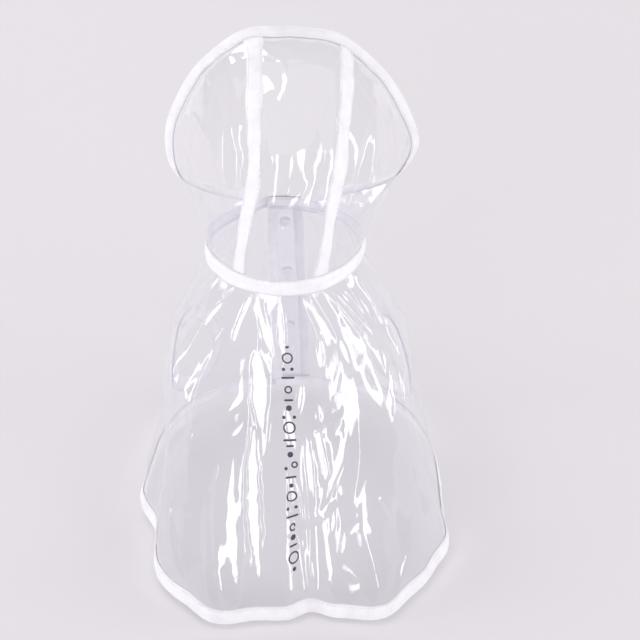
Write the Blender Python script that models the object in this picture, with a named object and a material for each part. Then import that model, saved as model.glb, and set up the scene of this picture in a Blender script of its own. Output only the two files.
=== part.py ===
"""Hooded rain cape for a small dog: clear film panels, white bound edges, snap front.

The cape keeps the hollow form of a sitting dog. The origin is the middle of the neck
seam, +Z is up, the face opening looks along -Y and the wearer's left side is +X.
Run it with: blender --background --python part.py
"""

import math

import bmesh
import bpy
import numpy as np

# ---------------------------------------------------------------- driving sizes (metres)
FILM = 0.0012            # wall of a film panel
TAPE = 0.0010            # wall of the binding tape
GAP = 0.00040            # clearance between sewn pieces
BINDING = 0.010          # visible width of a folded binding
FRONT_BINDING = 0.006    # visible width of the front edges' bindings
NECK_TAPE = 0.011        # width of the tape over the neck seam
SEAM_TAPE = 0.012        # width of the tapes over the hood seams

HOOD_SPAN = math.radians(152)    # the hood's front corners, turned from the mid back
HOOD_SEAM = {1: 0.235, -1: 0.17}  # the left and right hood seams, as shares of that span
HOOD_LEAN = -0.008               # how far the hood stands to the right above the ears
HOOD_ROLL = 0.060                # how much lower its right side hangs, per metre of width
HINGE_Y, HINGE_Z = -0.105, 0.008 # the line that the hood's arches fan round
HOOD_BULGE = 0.019               # how far the crown stands out from a straight fan

LAP_HALF = 0.014         # half the overlap of the front edges
LAP_RISE = 0.0046        # how far the left front lies outside the right one
LAP_SLOPE = 0.0135       # the width over which it rises to that
BODY_SWAY = -0.004       # sideways drift of the hem

LEG_HOLE_TURN = math.radians(133)
LEG_HOLE_DOWN = {1: 0.66, -1: 0.71}  # the left and right leg holes
LEG_HOLE_HALF_WIDTH = 0.024
LEG_HOLE_HALF_HEIGHT = 0.038
LEG_HOLE_SLANT = 0.13            # how far a hole's foot leans to the front (radians)

SNAP_RADIUS = 0.0048
SNAP_CAP_HEIGHT = 0.0016
SNAP_STUD_HEIGHT = 0.0020
SNAP_DOWN = (0.12, 0.42, 0.72)

BODY_COLUMNS, BODY_ROWS = 80, 18
HOOD_ROWS = 13
HOOD_CENTRE_COLUMNS, HOOD_SIDE_COLUMNS = 8, 20

# Rings of the body, from the neck seam (0) to the hem (1).
# down, half width, widest point's y and z, mid back's y and z, mid front's y and z,
# squareness of the back (2 is an ellipse)
BODY_RINGS = (
    (0.00, 0.058, 0.000, 0.000, 0.051, -0.004, -0.050, 0.002, 2.0),
    (0.18, 0.071, 0.007, -0.034, 0.077, -0.044, -0.064, -0.034, 2.1),
    (0.36, 0.094, 0.018, -0.072, 0.106, -0.086, -0.074, -0.072, 2.3),
    (0.56, 0.102, 0.030, -0.117, 0.137, -0.132, -0.080, -0.114, 2.5),
    (0.74, 0.109, 0.040, -0.157, 0.161, -0.171, -0.082, -0.153, 2.7),
    (0.88, 0.117, 0.048, -0.189, 0.177, -0.199, -0.081, -0.187, 2.9),
    (1.00, 0.123, 0.053, -0.217, 0.188, -0.221, -0.079, -0.213, 3.0),
)

# One half of the face edge, from its top (0) to its front corner (1).
# across, x, y, z
FACE_EDGE = (
    (0.00, 0.000, -0.083, 0.144),
    (0.18, 0.037, -0.082, 0.139),
    (0.35, 0.071, -0.079, 0.112),
    (0.48, 0.091, -0.075, 0.081),
    (0.60, 0.100, -0.071, 0.051),
    (0.72, 0.090, -0.066, 0.025),
    (0.86, 0.060, -0.060, 0.016),
    (1.00, 0.027, -0.052, 0.017),
)

# How far the hood's middle turns to the wearer's right, from neck seam to face edge.
# up, turned (share of the hood's span)
HOOD_TWIST = (
    (0.00, 0.000),
    (0.25, -0.025),
    (0.45, -0.060),
    (0.70, -0.062),
    (1.00, -0.048),
)

# Lengthwise folds of the body: where each starts and ends round the body (degrees), how
# wide and how proud it is (degrees, metres), and the stretch of the body that it runs over.
# start turn, end turn, half width, height, from, to
BODY_FOLDS = (
    (-4, -6, 9, -0.0080, 0.42, 1.40),
    (20, 27, 13, 0.0080, 0.25, 1.40),
    (-26, -26, 13, 0.0080, 0.45, 1.40),
    (-42, -62, 13, 0.0050, 0.05, 0.66),
    (-64, -84, 13, -0.0045, 0.15, 0.78),
    (52, 74, 13, 0.0050, 0.05, 0.55),
    (92, 52, 20, -0.0090, 0.35, 1.40),
    (-60, -64, 12, 0.0050, 0.55, 1.40),
    (80, 94, 18, 0.0040, 0.55, 1.40),
)

# Crumples of the hood: place (across, up), half size (across, up) and height.
HOOD_DENTS = (
    (-0.26, 0.22, 0.16, 0.16, -0.0045),
    (0.46, 0.32, 0.18, 0.22, -0.0040),
    (0.02, 0.42, 0.16, 0.22, 0.0030),
    (0.60, 0.62, 0.16, 0.26, -0.0040),
    (-0.58, 0.55, 0.16, 0.30, -0.0040),
)

# name of finish: colour, roughness
FINISHES = {
    "clear_film": ((0.86, 0.86, 0.88, 0.35), 0.12),
    "white_tape": ((0.86, 0.86, 0.88, 1.0), 0.60),
    "snap_plastic": ((0.88, 0.88, 0.89, 1.0), 0.35),
}


# ---------------------------------------------------------------- small helpers
def smoothstep(value):
    """Ease from 0 to 1 as the value passes from 0 to 1."""
    value = min(max(value, 0.0), 1.0)
    return value * value * (3.0 - 2.0 * value)


def unit(vector):
    """A vector of length one along this one."""
    return vector / np.linalg.norm(vector)


def read_rows(rows, at):
    """The columns of a table at a place along its first column, by a cubic through its rows."""
    table = np.array(rows)
    keys = table[:, 0]
    i = int(np.clip(np.searchsorted(keys, at) - 1, 0, len(keys) - 2))
    step = keys[i + 1] - keys[i]
    low, high = max(i - 1, 0), min(i + 2, len(keys) - 1)
    slope_a = (table[i + 1] - table[low]) / (keys[i + 1] - keys[low]) * step
    slope_b = (table[high] - table[i]) / (keys[high] - keys[i]) * step
    t = (at - keys[i]) / step
    return ((2 * t**3 - 3 * t**2 + 1) * table[i] + (t**3 - 2 * t**2 + t) * slope_a
            + (3 * t**2 - 2 * t**3) * table[i + 1] + (t**3 - t**2) * slope_b)[1:]


def lobe(value):
    """A soft bump: one at the middle, zero beyond one either way."""
    return math.cos(value * math.pi / 2) ** 2 if abs(value) < 1 else 0.0


# ---------------------------------------------------------------- the body's surface
def fold_height(turn, down):
    """How far the body's folds push the film out at a place."""
    total = 0.0
    for start, end, half, height, first, last in BODY_FOLDS:
        along = (down - first) / (last - first)
        if 0 < along < 1:
            middle = math.radians(start + (end - start) * along)
            strength = smoothstep(along / 0.35) * smoothstep((1 - along) / 0.35)
            total += height * strength * lobe((turn - middle) / math.radians(half))
    return total


def lap_height(turn, half_width):
    """How far the left front is lifted to lie over the right front."""
    before_edge = (math.pi - turn) * half_width - LAP_HALF - 0.0015
    return LAP_RISE * smoothstep(1.0 - before_edge / LAP_SLOPE)


def body_point(turn, down):
    """A point of the body's middle surface.

    turn is the angle round the body from the mid back, positive to the left, and down
    runs from 0 at the neck seam to 1 at the hem.
    """
    half, mid_y, mid_z, back_y, back_z, front_y, front_z, square = read_rows(BODY_RINGS, down)
    c, s = math.cos(turn), math.sin(turn)
    end_y, end_z = (back_y, back_z) if c > 0 else (front_y, front_z)
    power = square if c > 0 else 2.0 + (square - 2.0) / 2
    radius = (abs(s / half) ** power + abs(c / (end_y - mid_y)) ** power) ** (-1 / power)
    radius += fold_height(turn, down) + lap_height(turn, half)
    return np.array((radius * s + BODY_SWAY * down, mid_y + radius * c,
                     mid_z + (end_z - mid_z) * c * c))


def neck_outward(turn):
    """The level direction out of the neck seam."""
    ahead = body_point(turn + 0.01, 0.0) - body_point(turn - 0.01, 0.0)
    return unit(np.array((-ahead[1], ahead[0], 0.0)))


# ---------------------------------------------------------------- the hood's surface
def face_point(across):
    """A point of the face edge, across from -1 (right corner) to 1 (left corner)."""
    x, y, z = read_rows(FACE_EDGE, abs(across))
    return np.array((math.copysign(x, across), y, z))


def hood_point(across, up):
    """A point of the hood's middle surface.

    across runs from -1 at the right front corner to 1 at the left one, and up from 0 at
    the neck seam to 1 at the face edge. The arches fan round a level line at the throat.
    """
    across += read_rows(HOOD_TWIST, up)[0] * (1 - across * across)
    start, end = body_point(across * HOOD_SPAN, 0.0), face_point(across)
    angles, radii = [], []
    for y, z in (start[1:], end[1:]):
        angles.append(math.atan2(z - HINGE_Z, y - HINGE_Y))
        radii.append(math.hypot(z - HINGE_Z, y - HINGE_Y))
    rounding = (1 - across * across) * math.sin(math.pi * up)
    radius = radii[0] + (radii[1] - radii[0]) * up + HOOD_BULGE * rounding
    radius += dent_height(across, up)
    angle = angles[0] + (angles[1] - angles[0]) * up
    x = start[0] + (end[0] - start[0]) * up
    z = HINGE_Z + radius * math.sin(angle)
    above_ears = smoothstep(z / 0.06)
    return np.array((x + HOOD_LEAN * above_ears, HINGE_Y + radius * math.cos(angle),
                     z + HOOD_ROLL * x * above_ears))


def dent_height(across, up):
    """How far the hood's crumples push the film out at a place."""
    return sum(height * lobe((across - mid_a) / half_a) * lobe((up - mid_u) / half_u)
               for mid_a, mid_u, half_a, half_u, height in HOOD_DENTS)


# ---------------------------------------------------------------- surface tools
class Surface:
    """A curved surface with two parameters, and what the pieces need to know of it."""

    def __init__(self, point, side):
        self.point = point
        self.side = side      # which way the cross product of the slopes looks: out is 1

    def slope_a(self, a, b):
        """How the point moves per unit of the first parameter."""
        return (self.point(a + 1e-4, b) - self.point(a - 1e-4, b)) / 2e-4

    def slope_b(self, a, b):
        """How the point moves per unit of the second parameter."""
        return (self.point(a, b + 1e-4) - self.point(a, b - 1e-4)) / 2e-4

    def size_a(self, a, b):
        """Metres per unit of the first parameter."""
        return float(np.linalg.norm(self.slope_a(a, b)))

    def size_b(self, a, b):
        """Metres per unit of the second parameter."""
        return float(np.linalg.norm(self.slope_b(a, b)))

    def outward(self, a, b):
        """The unit normal that looks away from the hollow inside."""
        return unit(np.cross(self.slope_a(a, b), self.slope_b(a, b))) * self.side

    def offset(self, a, b, height):
        """The point, moved out by a height."""
        return self.point(a, b) + self.outward(a, b) * height


BODY = Surface(body_point, 1.0)
HOOD = Surface(hood_point, -1.0)


def spread_rows(first, last, count):
    """Row places from 0 to 1 with set first and last inner rows, evenly spaced between."""
    inner = [first + (last - first) * k / (count - 2) for k in range(count - 1)]
    return [0.0] + inner + [1.0]


def body_end(down):
    """The turn at which the body film ends at the front."""
    return math.pi + LAP_HALF / read_rows(BODY_RINGS, down)[0]


def front_place(side, down, inset):
    """Turn and down at a distance in from the left (1) or right (-1) front edge."""
    end = side * body_end(down)
    return end - side * inset / BODY.size_a(end, down), down


def body_turn(column, down):
    """The turn of a column of the body's grid; next to an edge it follows the binding."""
    end = body_end(down)
    side = 1 if 2 * column > BODY_COLUMNS else -1
    from_edge = min(column, BODY_COLUMNS - column)
    if from_edge == 0 or from_edge > 3:
        return (2 * column / BODY_COLUMNS - 1) * end
    bound = front_place(side, down, FRONT_BINDING)[0]
    free = side * (1 - 8 / BODY_COLUMNS) * end
    return bound + (free - bound) * (from_edge - 1) / 3


def body_rows(column):
    """Row places down the body for a column of its grid."""
    first = NECK_TAPE / 2 / BODY.size_b(body_turn(column, 0.0), 0.0)
    last = 1.0 - BINDING / BODY.size_b(body_turn(column, 1.0), 1.0)
    return spread_rows(first, last, BODY_ROWS)


def seam_place(side, inset, up):
    """Across and up at a distance from a hood seam, positive away from the middle."""
    across = side * HOOD_SEAM[side]
    return across + side * inset / HOOD.size_a(across, up), up


# ---------------------------------------------------------------- solids
def finish_material(name):
    """The named Principled finish, made once."""
    material = bpy.data.materials.get(name)
    if material is None:
        colour, roughness = FINISHES[name]
        material = bpy.data.materials.new(name)
        material.use_nodes = True
        shader = material.node_tree.nodes["Principled BSDF"]
        shader.inputs["Base Color"].default_value = colour[:3] + (1.0,)
        shader.inputs["Alpha"].default_value = colour[3]
        shader.inputs["Roughness"].default_value = roughness
        shader.inputs["Metallic"].default_value = 0.0
        material.diffuse_color = colour
        material.roughness = roughness
    return material


def add_object(name, bm, finish):
    """Turn a finished bmesh into a smooth-shaded object of its own."""
    bmesh.ops.recalc_face_normals(bm, faces=bm.faces)
    mesh = bpy.data.meshes.new(name)
    bm.to_mesh(mesh)
    bm.free()
    mesh.materials.append(finish_material(finish))
    mesh.shade_smooth()
    piece = bpy.data.objects.new(name, mesh)
    bpy.context.scene.collection.objects.link(piece)
    return piece


def add_panel(name, middles, normals, faces):
    """A film panel: its middle surface thickened both ways, with its edges closed."""
    bm = bmesh.new()
    half = FILM / 2
    outer = [bm.verts.new(p + n * half) for p, n in zip(middles, normals)]
    inner = [bm.verts.new(p - n * half) for p, n in zip(middles, normals)]
    single = set()
    for face in faces:
        bm.faces.new([outer[k] for k in face])
        bm.faces.new([inner[k] for k in reversed(face)])
        for edge in zip(face, face[1:] + face[:1]):
            if edge[::-1] in single:
                single.remove(edge[::-1])
            else:
                single.add(edge)
    for a, b in sorted(single):
        bm.faces.new((outer[b], outer[a], inner[a], inner[b]))
    return add_object(name, bm, "clear_film")


def add_sweep(name, sections, caps, closed=False):
    """Tape swept through sections of equal point count, with quads to cap its ends."""
    bm = bmesh.new()
    rings = [[bm.verts.new(p) for p in section] for section in sections]
    pairs = list(zip(rings, rings[1:] + rings[:1]))
    for a, b in pairs if closed else pairs[:-1]:
        for k in range(len(a)):
            n = (k + 1) % len(a)
            bm.faces.new((a[k], a[n], b[n], b[k]))
    if not closed:
        for ring in (rings[0], rings[-1]):
            for cap in caps:
                bm.faces.new([ring[k] for k in cap])
    return add_object(name, bm, "white_tape")


FOLDED_CAPS = ((0, 1, 6, 7), (1, 2, 5, 6), (2, 3, 4, 5))


def folded_section(surface, place, width=BINDING):
    """Section of a tape folded over an edge; place gives the spot at a distance inside."""
    low, high = FILM / 2 + GAP, FILM / 2 + GAP + TAPE
    corners = ((width, high), (-GAP - TAPE, high), (-GAP - TAPE, -high), (width, -high),
               (width, -low), (-GAP, -low), (-GAP, low), (width, low))
    return [surface.offset(*place(inset), height) for inset, height in corners]


def flat_caps(count):
    """Cap quads of a flat strip that is count points wide."""
    return [(k, k + 1, 2 * count - 2 - k, 2 * count - 1 - k) for k in range(count - 1)]


# ---------------------------------------------------------------- the body panel
def grid_faces(columns, rows, skip=lambda i, j: False):
    """Quads of a grid as (column, row) corners, leaving out the skipped cells."""
    return [[(i, j), (i, j + 1), (i + 1, j + 1), (i + 1, j)]
            for i in range(columns) for j in range(rows) if not skip(i, j)]


def body_grid():
    """Turn and down of every corner of the body panel's grid."""
    return {(i, j): (body_turn(i, down), down) for i in range(BODY_COLUMNS + 1)
            for j, down in enumerate(body_rows(i))}


def leg_hole_place(side, angle, inset):
    """Turn and down on the leg hole's rim at an angle, or at a distance outside it."""
    turn, down = side * LEG_HOLE_TURN, LEG_HOLE_DOWN[side]
    half_turn = (LEG_HOLE_HALF_WIDTH + inset) / BODY.size_a(turn, down)
    half_down = (LEG_HOLE_HALF_HEIGHT + inset) / BODY.size_b(turn, down)
    slant = side * LEG_HOLE_SLANT * math.sin(angle)
    return turn + slant + half_turn * math.cos(angle), down + half_down * math.sin(angle)


def leg_hole_cells(grid, side):
    """The block of grid cells that a leg hole and its binding take up."""
    room = BINDING + 0.004
    rim = [leg_hole_place(side, math.radians(angle), room) for angle in range(0, 360, 15)]
    turns, downs = zip(*rim)
    downs = (min(downs), max(downs))
    columns = [i for i in range(BODY_COLUMNS + 1)
               if min(turns) < grid[i, BODY_ROWS // 2][0] < max(turns)]
    rows = [j for j in range(BODY_ROWS + 1) if downs[0] < grid[columns[0], j][1] < downs[1]]
    return columns[0] - 1, columns[-1] + 1, rows[0] - 1, rows[-1] + 1


def block_border(low_i, high_i, low_j, high_j):
    """Grid corners round a block of cells, in order."""
    return ([(i, low_j) for i in range(low_i, high_i)]
            + [(high_i, j) for j in range(low_j, high_j)]
            + [(i, high_j) for i in range(high_i, low_i, -1)]
            + [(low_i, j) for j in range(high_j, low_j, -1)])


def leg_hole_angles(grid, side):
    """The rim angle that faces each corner of the block round a leg hole."""
    turn, down = side * LEG_HOLE_TURN, LEG_HOLE_DOWN[side]
    wide = LEG_HOLE_HALF_WIDTH / BODY.size_a(turn, down)
    tall = LEG_HOLE_HALF_HEIGHT / BODY.size_b(turn, down)
    border = block_border(*leg_hole_cells(grid, side))
    angles = []
    for key in border:
        high = (grid[key][1] - down) / tall
        slant = side * LEG_HOLE_SLANT * high * 0.6
        angles.append((key, math.atan2(high, (grid[key][0] - turn - slant) / wide)))
    return angles


def make_body(grid):
    """The cape body: one film panel from front edge to front edge, with two leg holes."""
    blocks = [leg_hole_cells(grid, side) for side in (-1, 1)]

    def in_block(i, j):
        return any(a <= i < b and c <= j < d for a, b, c, d in blocks)

    faces = grid_faces(BODY_COLUMNS, BODY_ROWS, in_block)
    places = dict(grid)
    for side in (-1, 1):
        rim = leg_hole_angles(grid, side)
        for n, (_, angle) in enumerate(rim):
            places[side, "tape", n] = leg_hole_place(side, angle, BINDING)
            places[side, "edge", n] = leg_hole_place(side, angle, 0.0)
        for n in range(len(rim)):
            m = (n + 1) % len(rim)
            faces.append([rim[n][0], (side, "tape", n), (side, "tape", m), rim[m][0]])
            faces.append([(side, "tape", n), (side, "edge", n),
                          (side, "edge", m), (side, "tape", m)])
    used = sorted({key for face in faces for key in face}, key=str)
    index = {key: n for n, key in enumerate(used)}
    middles, normals = [], []
    for key in used:
        turn, down = places[key]
        at_neck = key[1] == 0 and len(key) == 2
        middles.append(BODY.point(turn, down) - np.array((0, 0, GAP / 2 if at_neck else 0)))
        normals.append(neck_outward(turn) if at_neck else BODY.outward(turn, down))
    return add_panel("body_panel", middles, normals,
                     [[index[key] for key in face] for face in faces])


# ---------------------------------------------------------------- the hood panels
def hood_across(side, column, up):
    """The place across of a column of the centre (0), left (1) or right (-1) panel."""
    edge, tape = GAP / 2, SEAM_TAPE / 2
    if side:
        if column < 2:
            return seam_place(side, tape if column else edge, up)[0]
        start = seam_place(side, tape, up)[0]
        return start + (side - start) * (column - 1) / (HOOD_SIDE_COLUMNS - 1)
    if column in (0, HOOD_CENTRE_COLUMNS):
        return seam_place(1 if column else -1, -edge, up)[0]
    right, left = (seam_place(near, -tape, up)[0] for near in (-1, 1))
    return right + (left - right) * (column - 1) / (HOOD_CENTRE_COLUMNS - 2)


def hood_rows(across_low, across_high):
    """Row places up a hood column, from where it starts and ends across."""
    first = NECK_TAPE / 2 / HOOD.size_b(across_low, 0.0)
    last = 1.0 - BINDING / HOOD.size_b(across_high, 1.0)
    return spread_rows(first, last, HOOD_ROWS)


def make_hood_panel(name, side):
    """One of the three film panels of the hood."""
    columns = HOOD_SIDE_COLUMNS if side else HOOD_CENTRE_COLUMNS
    middles, normals, index = [], [], {}
    for k in range(columns + 1):
        rows = hood_rows(hood_across(side, k, 0.0), hood_across(side, k, 1.0))
        for j, up in enumerate(rows):
            across = hood_across(side, k, up)
            index[k, j] = len(middles)
            lift = np.array((0, 0, GAP / 2 if j == 0 else 0))
            middles.append(HOOD.point(across, up) + lift)
            normals.append(neck_outward(across * HOOD_SPAN) if j == 0
                           else HOOD.outward(across, up))
    faces = [[index[key] for key in face] for face in grid_faces(columns, HOOD_ROWS)]
    return add_panel(name, middles, normals, faces)


# ---------------------------------------------------------------- bindings and tapes
def make_hood_seam_tape(name, side):
    """The flat tape over a hood seam, from the neck tape to the face-edge binding."""
    across = side * HOOD_SEAM[side]
    rows = hood_rows(across, across)[1:-1]
    rows[0] += GAP / HOOD.size_b(across, 0.0)
    rows[-1] -= GAP / HOOD.size_b(across, 1.0)
    low, high = FILM / 2 + GAP, FILM / 2 + GAP + TAPE
    insets = (-SEAM_TAPE / 2, 0.0, SEAM_TAPE / 2)
    sections = []
    for up in rows:
        places = [seam_place(side, inset, up) for inset in insets]
        sections.append([HOOD.offset(*p, high) for p in places]
                        + [HOOD.offset(*p, low) for p in reversed(places)])
    return add_sweep(name, sections, flat_caps(len(insets)))


def make_hood_edge_binding():
    """The tape folded over the face edge, from one front corner to the other."""
    columns = [(-1, k) for k in range(HOOD_SIDE_COLUMNS, -1, -1)]
    columns += [(0, k) for k in range(HOOD_CENTRE_COLUMNS + 1)]
    columns += [(1, k) for k in range(HOOD_SIDE_COLUMNS + 1)]
    sections = []
    for side, k in columns:
        size = HOOD.size_b(hood_across(side, k, 1.0), 1.0)
        sections.append(folded_section(
            HOOD, lambda inset: (hood_across(side, k, 1 - inset / size), 1 - inset / size)))
    return add_sweep("hood_edge_binding", sections, FOLDED_CAPS)


def neck_section(turn):
    """Section of the neck tape: body side, seam line and hood side, outer then inner."""
    out = neck_outward(turn)
    down = NECK_TAPE / 2 / BODY.size_b(turn, 0.0)
    across = turn / HOOD_SPAN
    outer, inner = [], []
    for points, height in ((outer, FILM / 2 + GAP + TAPE), (inner, FILM / 2 + GAP)):
        points.append(BODY.offset(turn, down, height))
        points.append(BODY.point(turn, 0.0) + out * (height + GAP / 2))
        if abs(across) <= 1.001:
            points.append(HOOD.offset(across, NECK_TAPE / 2 / HOOD.size_b(across, 0.0), height))
        else:
            lift = np.array((0, 0, NECK_TAPE / 2))
            points.append(BODY.point(turn, 0.0) + lift + out * (height + GAP / 2))
    return outer + inner[::-1]


def make_neck_binding():
    """The tape over the seam of hood and body, from front edge to front edge."""
    turns = [body_turn(i, 0.0) for i in range(BODY_COLUMNS + 1)]
    for corner in (HOOD_SPAN, HOOD_SPAN + 0.02):
        turns += [corner, -corner]
    return add_sweep("neck_binding", [neck_section(turn) for turn in sorted(turns)],
                     flat_caps(3))


def make_hem_binding():
    """The tape folded over the hem, from front edge to front edge."""
    sections = []
    for i in range(BODY_COLUMNS + 1):
        size = BODY.size_b(body_turn(i, 1.0), 1.0)
        sections.append(folded_section(
            BODY, lambda inset: (body_turn(i, 1 - inset / size), 1 - inset / size)))
    return add_sweep("hem_binding", sections, FOLDED_CAPS)


def make_leg_binding(name, grid, side):
    """The tape folded over the rim of a leg hole."""
    sections = [folded_section(BODY, lambda inset: leg_hole_place(side, angle, inset))
                for _, angle in leg_hole_angles(grid, side)]
    return add_sweep(name, sections, FOLDED_CAPS, closed=True)


def make_front_binding(name, side):
    """The tape folded over a front edge, from the neck tape to the hem binding."""
    rows = body_rows(BODY_COLUMNS if side > 0 else 0)[1:-1]
    rows[0] += GAP / BODY.size_b(side * body_end(0.0), 0.0)
    rows[-1] -= GAP / BODY.size_b(side * body_end(1.0), 1.0)
    sections = [folded_section(BODY, lambda inset: front_place(side, down, inset),
                               FRONT_BINDING) for down in rows]
    return add_sweep(name, sections, FOLDED_CAPS)


# ---------------------------------------------------------------- press studs
def add_stud(name, turn, down, base, height, top_radius):
    """A round press-stud part, standing on the body film along its normal."""
    bm = bmesh.new()
    bmesh.ops.create_cone(bm, cap_ends=True, segments=24, radius1=SNAP_RADIUS,
                          radius2=top_radius, depth=height)
    rims = [edge for edge in bm.edges if abs(edge.verts[0].co.z - edge.verts[1].co.z) < 1e-6
            and edge.verts[0].co.z > 0]
    bmesh.ops.bevel(bm, geom=rims, offset=height * 0.35, segments=2, affect="EDGES",
                    profile=0.5)
    piece = add_object(name, bm, "snap_plastic")
    normal = BODY.outward(turn, down)
    piece.location = BODY.offset(turn, down, base + height / 2)
    turned = math.atan2(normal[1], normal[0])
    piece.rotation_euler = (0.0, math.acos(normal[2]), turned)
    return piece


def make_snaps():
    """Caps on the left front and studs on the right one, at the middle of the lap."""
    face = FILM / 2 + GAP
    for number, down in enumerate(SNAP_DOWN, start=1):
        add_stud(f"snap_cap_{number}", math.pi, down, face, SNAP_CAP_HEIGHT,
                 SNAP_RADIUS * 0.8)
        add_stud(f"snap_stud_{number}", -math.pi, down, face, SNAP_STUD_HEIGHT,
                 SNAP_RADIUS * 0.7)


# ---------------------------------------------------------------- build
def main():
    """Clear the scene and build every piece of the cape."""
    for item in list(bpy.data.objects):
        bpy.data.objects.remove(item)
    grid = body_grid()
    make_body(grid)
    for name, side in (("centre_panel", 0), ("side_left", 1), ("side_right", -1)):
        make_hood_panel(f"hood_{name}", side)
    for name, side in (("left", 1), ("right", -1)):
        make_hood_seam_tape(f"hood_seam_tape_{name}", side)
        make_leg_binding(f"leg_binding_{name}", grid, side)
        make_front_binding(f"front_binding_{name}", side)
    make_hood_edge_binding()
    make_neck_binding()
    make_hem_binding()
    make_snaps()


main()
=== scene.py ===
"""Clear hooded rain cape for a small dog: film panels, bound edges, press studs, a print.

The cape keeps the hollow form of a sitting dog. The origin is the middle of the neck seam,
+Z is up, the face opening looks along -Y and the wearer's left side is +X. Sizes are metres.
"""

import logging
import math
from abc import ABC, abstractmethod
from collections.abc import Callable, Sequence
from dataclasses import dataclass, field
from enum import Enum, IntEnum
from functools import partial

import bmesh
import bpy
import numpy as np
from mathutils import Matrix, Vector, noise


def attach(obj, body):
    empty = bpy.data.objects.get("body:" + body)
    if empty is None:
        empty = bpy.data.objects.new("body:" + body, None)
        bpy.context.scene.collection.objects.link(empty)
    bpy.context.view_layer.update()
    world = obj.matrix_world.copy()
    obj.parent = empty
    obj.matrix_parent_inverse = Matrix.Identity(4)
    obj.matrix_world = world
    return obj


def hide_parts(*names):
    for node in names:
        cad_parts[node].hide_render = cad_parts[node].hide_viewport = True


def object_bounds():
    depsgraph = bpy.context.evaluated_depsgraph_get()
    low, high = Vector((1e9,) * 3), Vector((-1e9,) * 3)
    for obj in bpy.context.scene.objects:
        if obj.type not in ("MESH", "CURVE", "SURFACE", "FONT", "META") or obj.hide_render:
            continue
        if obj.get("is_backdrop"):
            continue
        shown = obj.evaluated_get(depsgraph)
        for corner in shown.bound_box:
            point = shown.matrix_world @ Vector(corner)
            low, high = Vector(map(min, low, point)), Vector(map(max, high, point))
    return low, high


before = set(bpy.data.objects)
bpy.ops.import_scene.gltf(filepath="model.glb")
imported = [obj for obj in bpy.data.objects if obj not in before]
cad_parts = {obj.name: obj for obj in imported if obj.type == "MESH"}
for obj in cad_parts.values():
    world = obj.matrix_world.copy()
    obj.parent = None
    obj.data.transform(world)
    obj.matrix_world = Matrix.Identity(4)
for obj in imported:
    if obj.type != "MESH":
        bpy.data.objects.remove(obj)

LOG = logging.getLogger("rain_cape")
Array = np.ndarray
Rows = tuple[tuple[float, ...], ...]
Motifs = tuple[tuple[str, float, float, float], ...]
Source = bpy.types.Node | bpy.types.NodeSocket

FAR = 1e9                # beyond any distance on the cape
NUDGE = 1e-4             # step of a parameter that slopes are read over
MERGE = 1e-6             # points closer than this are one
ELLIPSE = 2.0            # squareness of a plain ellipse
BANDS_A_METRE = 3.1416   # bands of a wave texture whose scale is one
CRUMPLE_SEED = 3         # of the noise that stirs the film's crumpling; 0 would be the time

# Rings of the body, from the neck seam (0) to the hem (1).
# down, half width, widest point's y and z, mid back's y and z, mid front's y and z,
# squareness of the back (2 is an ellipse)
BODY_RINGS: Rows = (
    (0.00, 0.058, 0.000, 0.000, 0.051, -0.004, -0.050, 0.002, 2.0),
    (0.18, 0.071, 0.007, -0.034, 0.077, -0.044, -0.064, -0.034, 2.1),
    (0.36, 0.094, 0.018, -0.072, 0.106, -0.086, -0.074, -0.072, 2.3),
    (0.56, 0.102, 0.030, -0.117, 0.137, -0.132, -0.080, -0.114, 2.5),
    (0.74, 0.109, 0.040, -0.157, 0.161, -0.171, -0.082, -0.153, 2.7),
    (0.88, 0.117, 0.048, -0.189, 0.177, -0.199, -0.081, -0.187, 2.9),
    (1.00, 0.123, 0.053, -0.217, 0.188, -0.221, -0.079, -0.213, 3.0),
)

# One half of the face edge, from its top (0) to its front corner (1): across, x, y, z
FACE_EDGE: Rows = (
    (0.00, 0.000, -0.083, 0.144),
    (0.18, 0.037, -0.082, 0.139),
    (0.35, 0.071, -0.079, 0.112),
    (0.48, 0.091, -0.075, 0.081),
    (0.60, 0.100, -0.071, 0.051),
    (0.72, 0.090, -0.066, 0.025),
    (0.86, 0.060, -0.060, 0.016),
    (1.00, 0.027, -0.052, 0.017),
)

# How far the hood's middle turns to the wearer's right: up, share of the hood's span
HOOD_TWIST: Rows = ((0.00, 0.000), (0.25, -0.025), (0.45, -0.060), (0.70, -0.062),
                    (1.00, -0.048))

# Where the hood's seams run: up, across on the left, across on the right
HOOD_SEAMS: Rows = ((0.00, 0.262, 0.190), (0.08, 0.262, 0.184), (0.24, 0.257, 0.143),
                    (0.34, 0.233, 0.143), (0.44, 0.228, 0.146), (0.56, 0.224, 0.146),
                    (0.70, 0.210, 0.158), (0.90, 0.200, 0.169), (1.00, 0.200, 0.171))

# Broad folds of the body: start and end turn (degrees), half width (degrees), height, and
# the stretch of the body that each runs over.
BODY_FOLDS: Rows = (
    (-4, -6, 9, -0.0080, 0.42, 1.40),
    (20, 27, 13, 0.0080, 0.25, 1.40),
    (-26, -26, 13, 0.0080, 0.45, 1.40),
    (-42, -62, 13, 0.0050, 0.05, 0.66),
    (-64, -84, 13, -0.0045, 0.15, 0.78),
    (52, 74, 13, 0.0050, 0.05, 0.55),
    (92, 52, 20, -0.0090, 0.35, 1.40),
    (-60, -64, 12, 0.0050, 0.55, 1.40),
    (80, 94, 18, 0.0040, 0.55, 1.40),
)

# Crumples of the hood: place (across, up), half size (across, up) and height.
HOOD_DENTS: Rows = (
    (-0.26, 0.22, 0.16, 0.16, -0.0045),
    (0.46, 0.32, 0.18, 0.22, -0.0040),
    (0.02, 0.42, 0.16, 0.22, 0.0030),
    (0.60, 0.62, 0.16, 0.26, -0.0040),
    (-0.58, 0.55, 0.16, 0.30, -0.0040),
)

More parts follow.
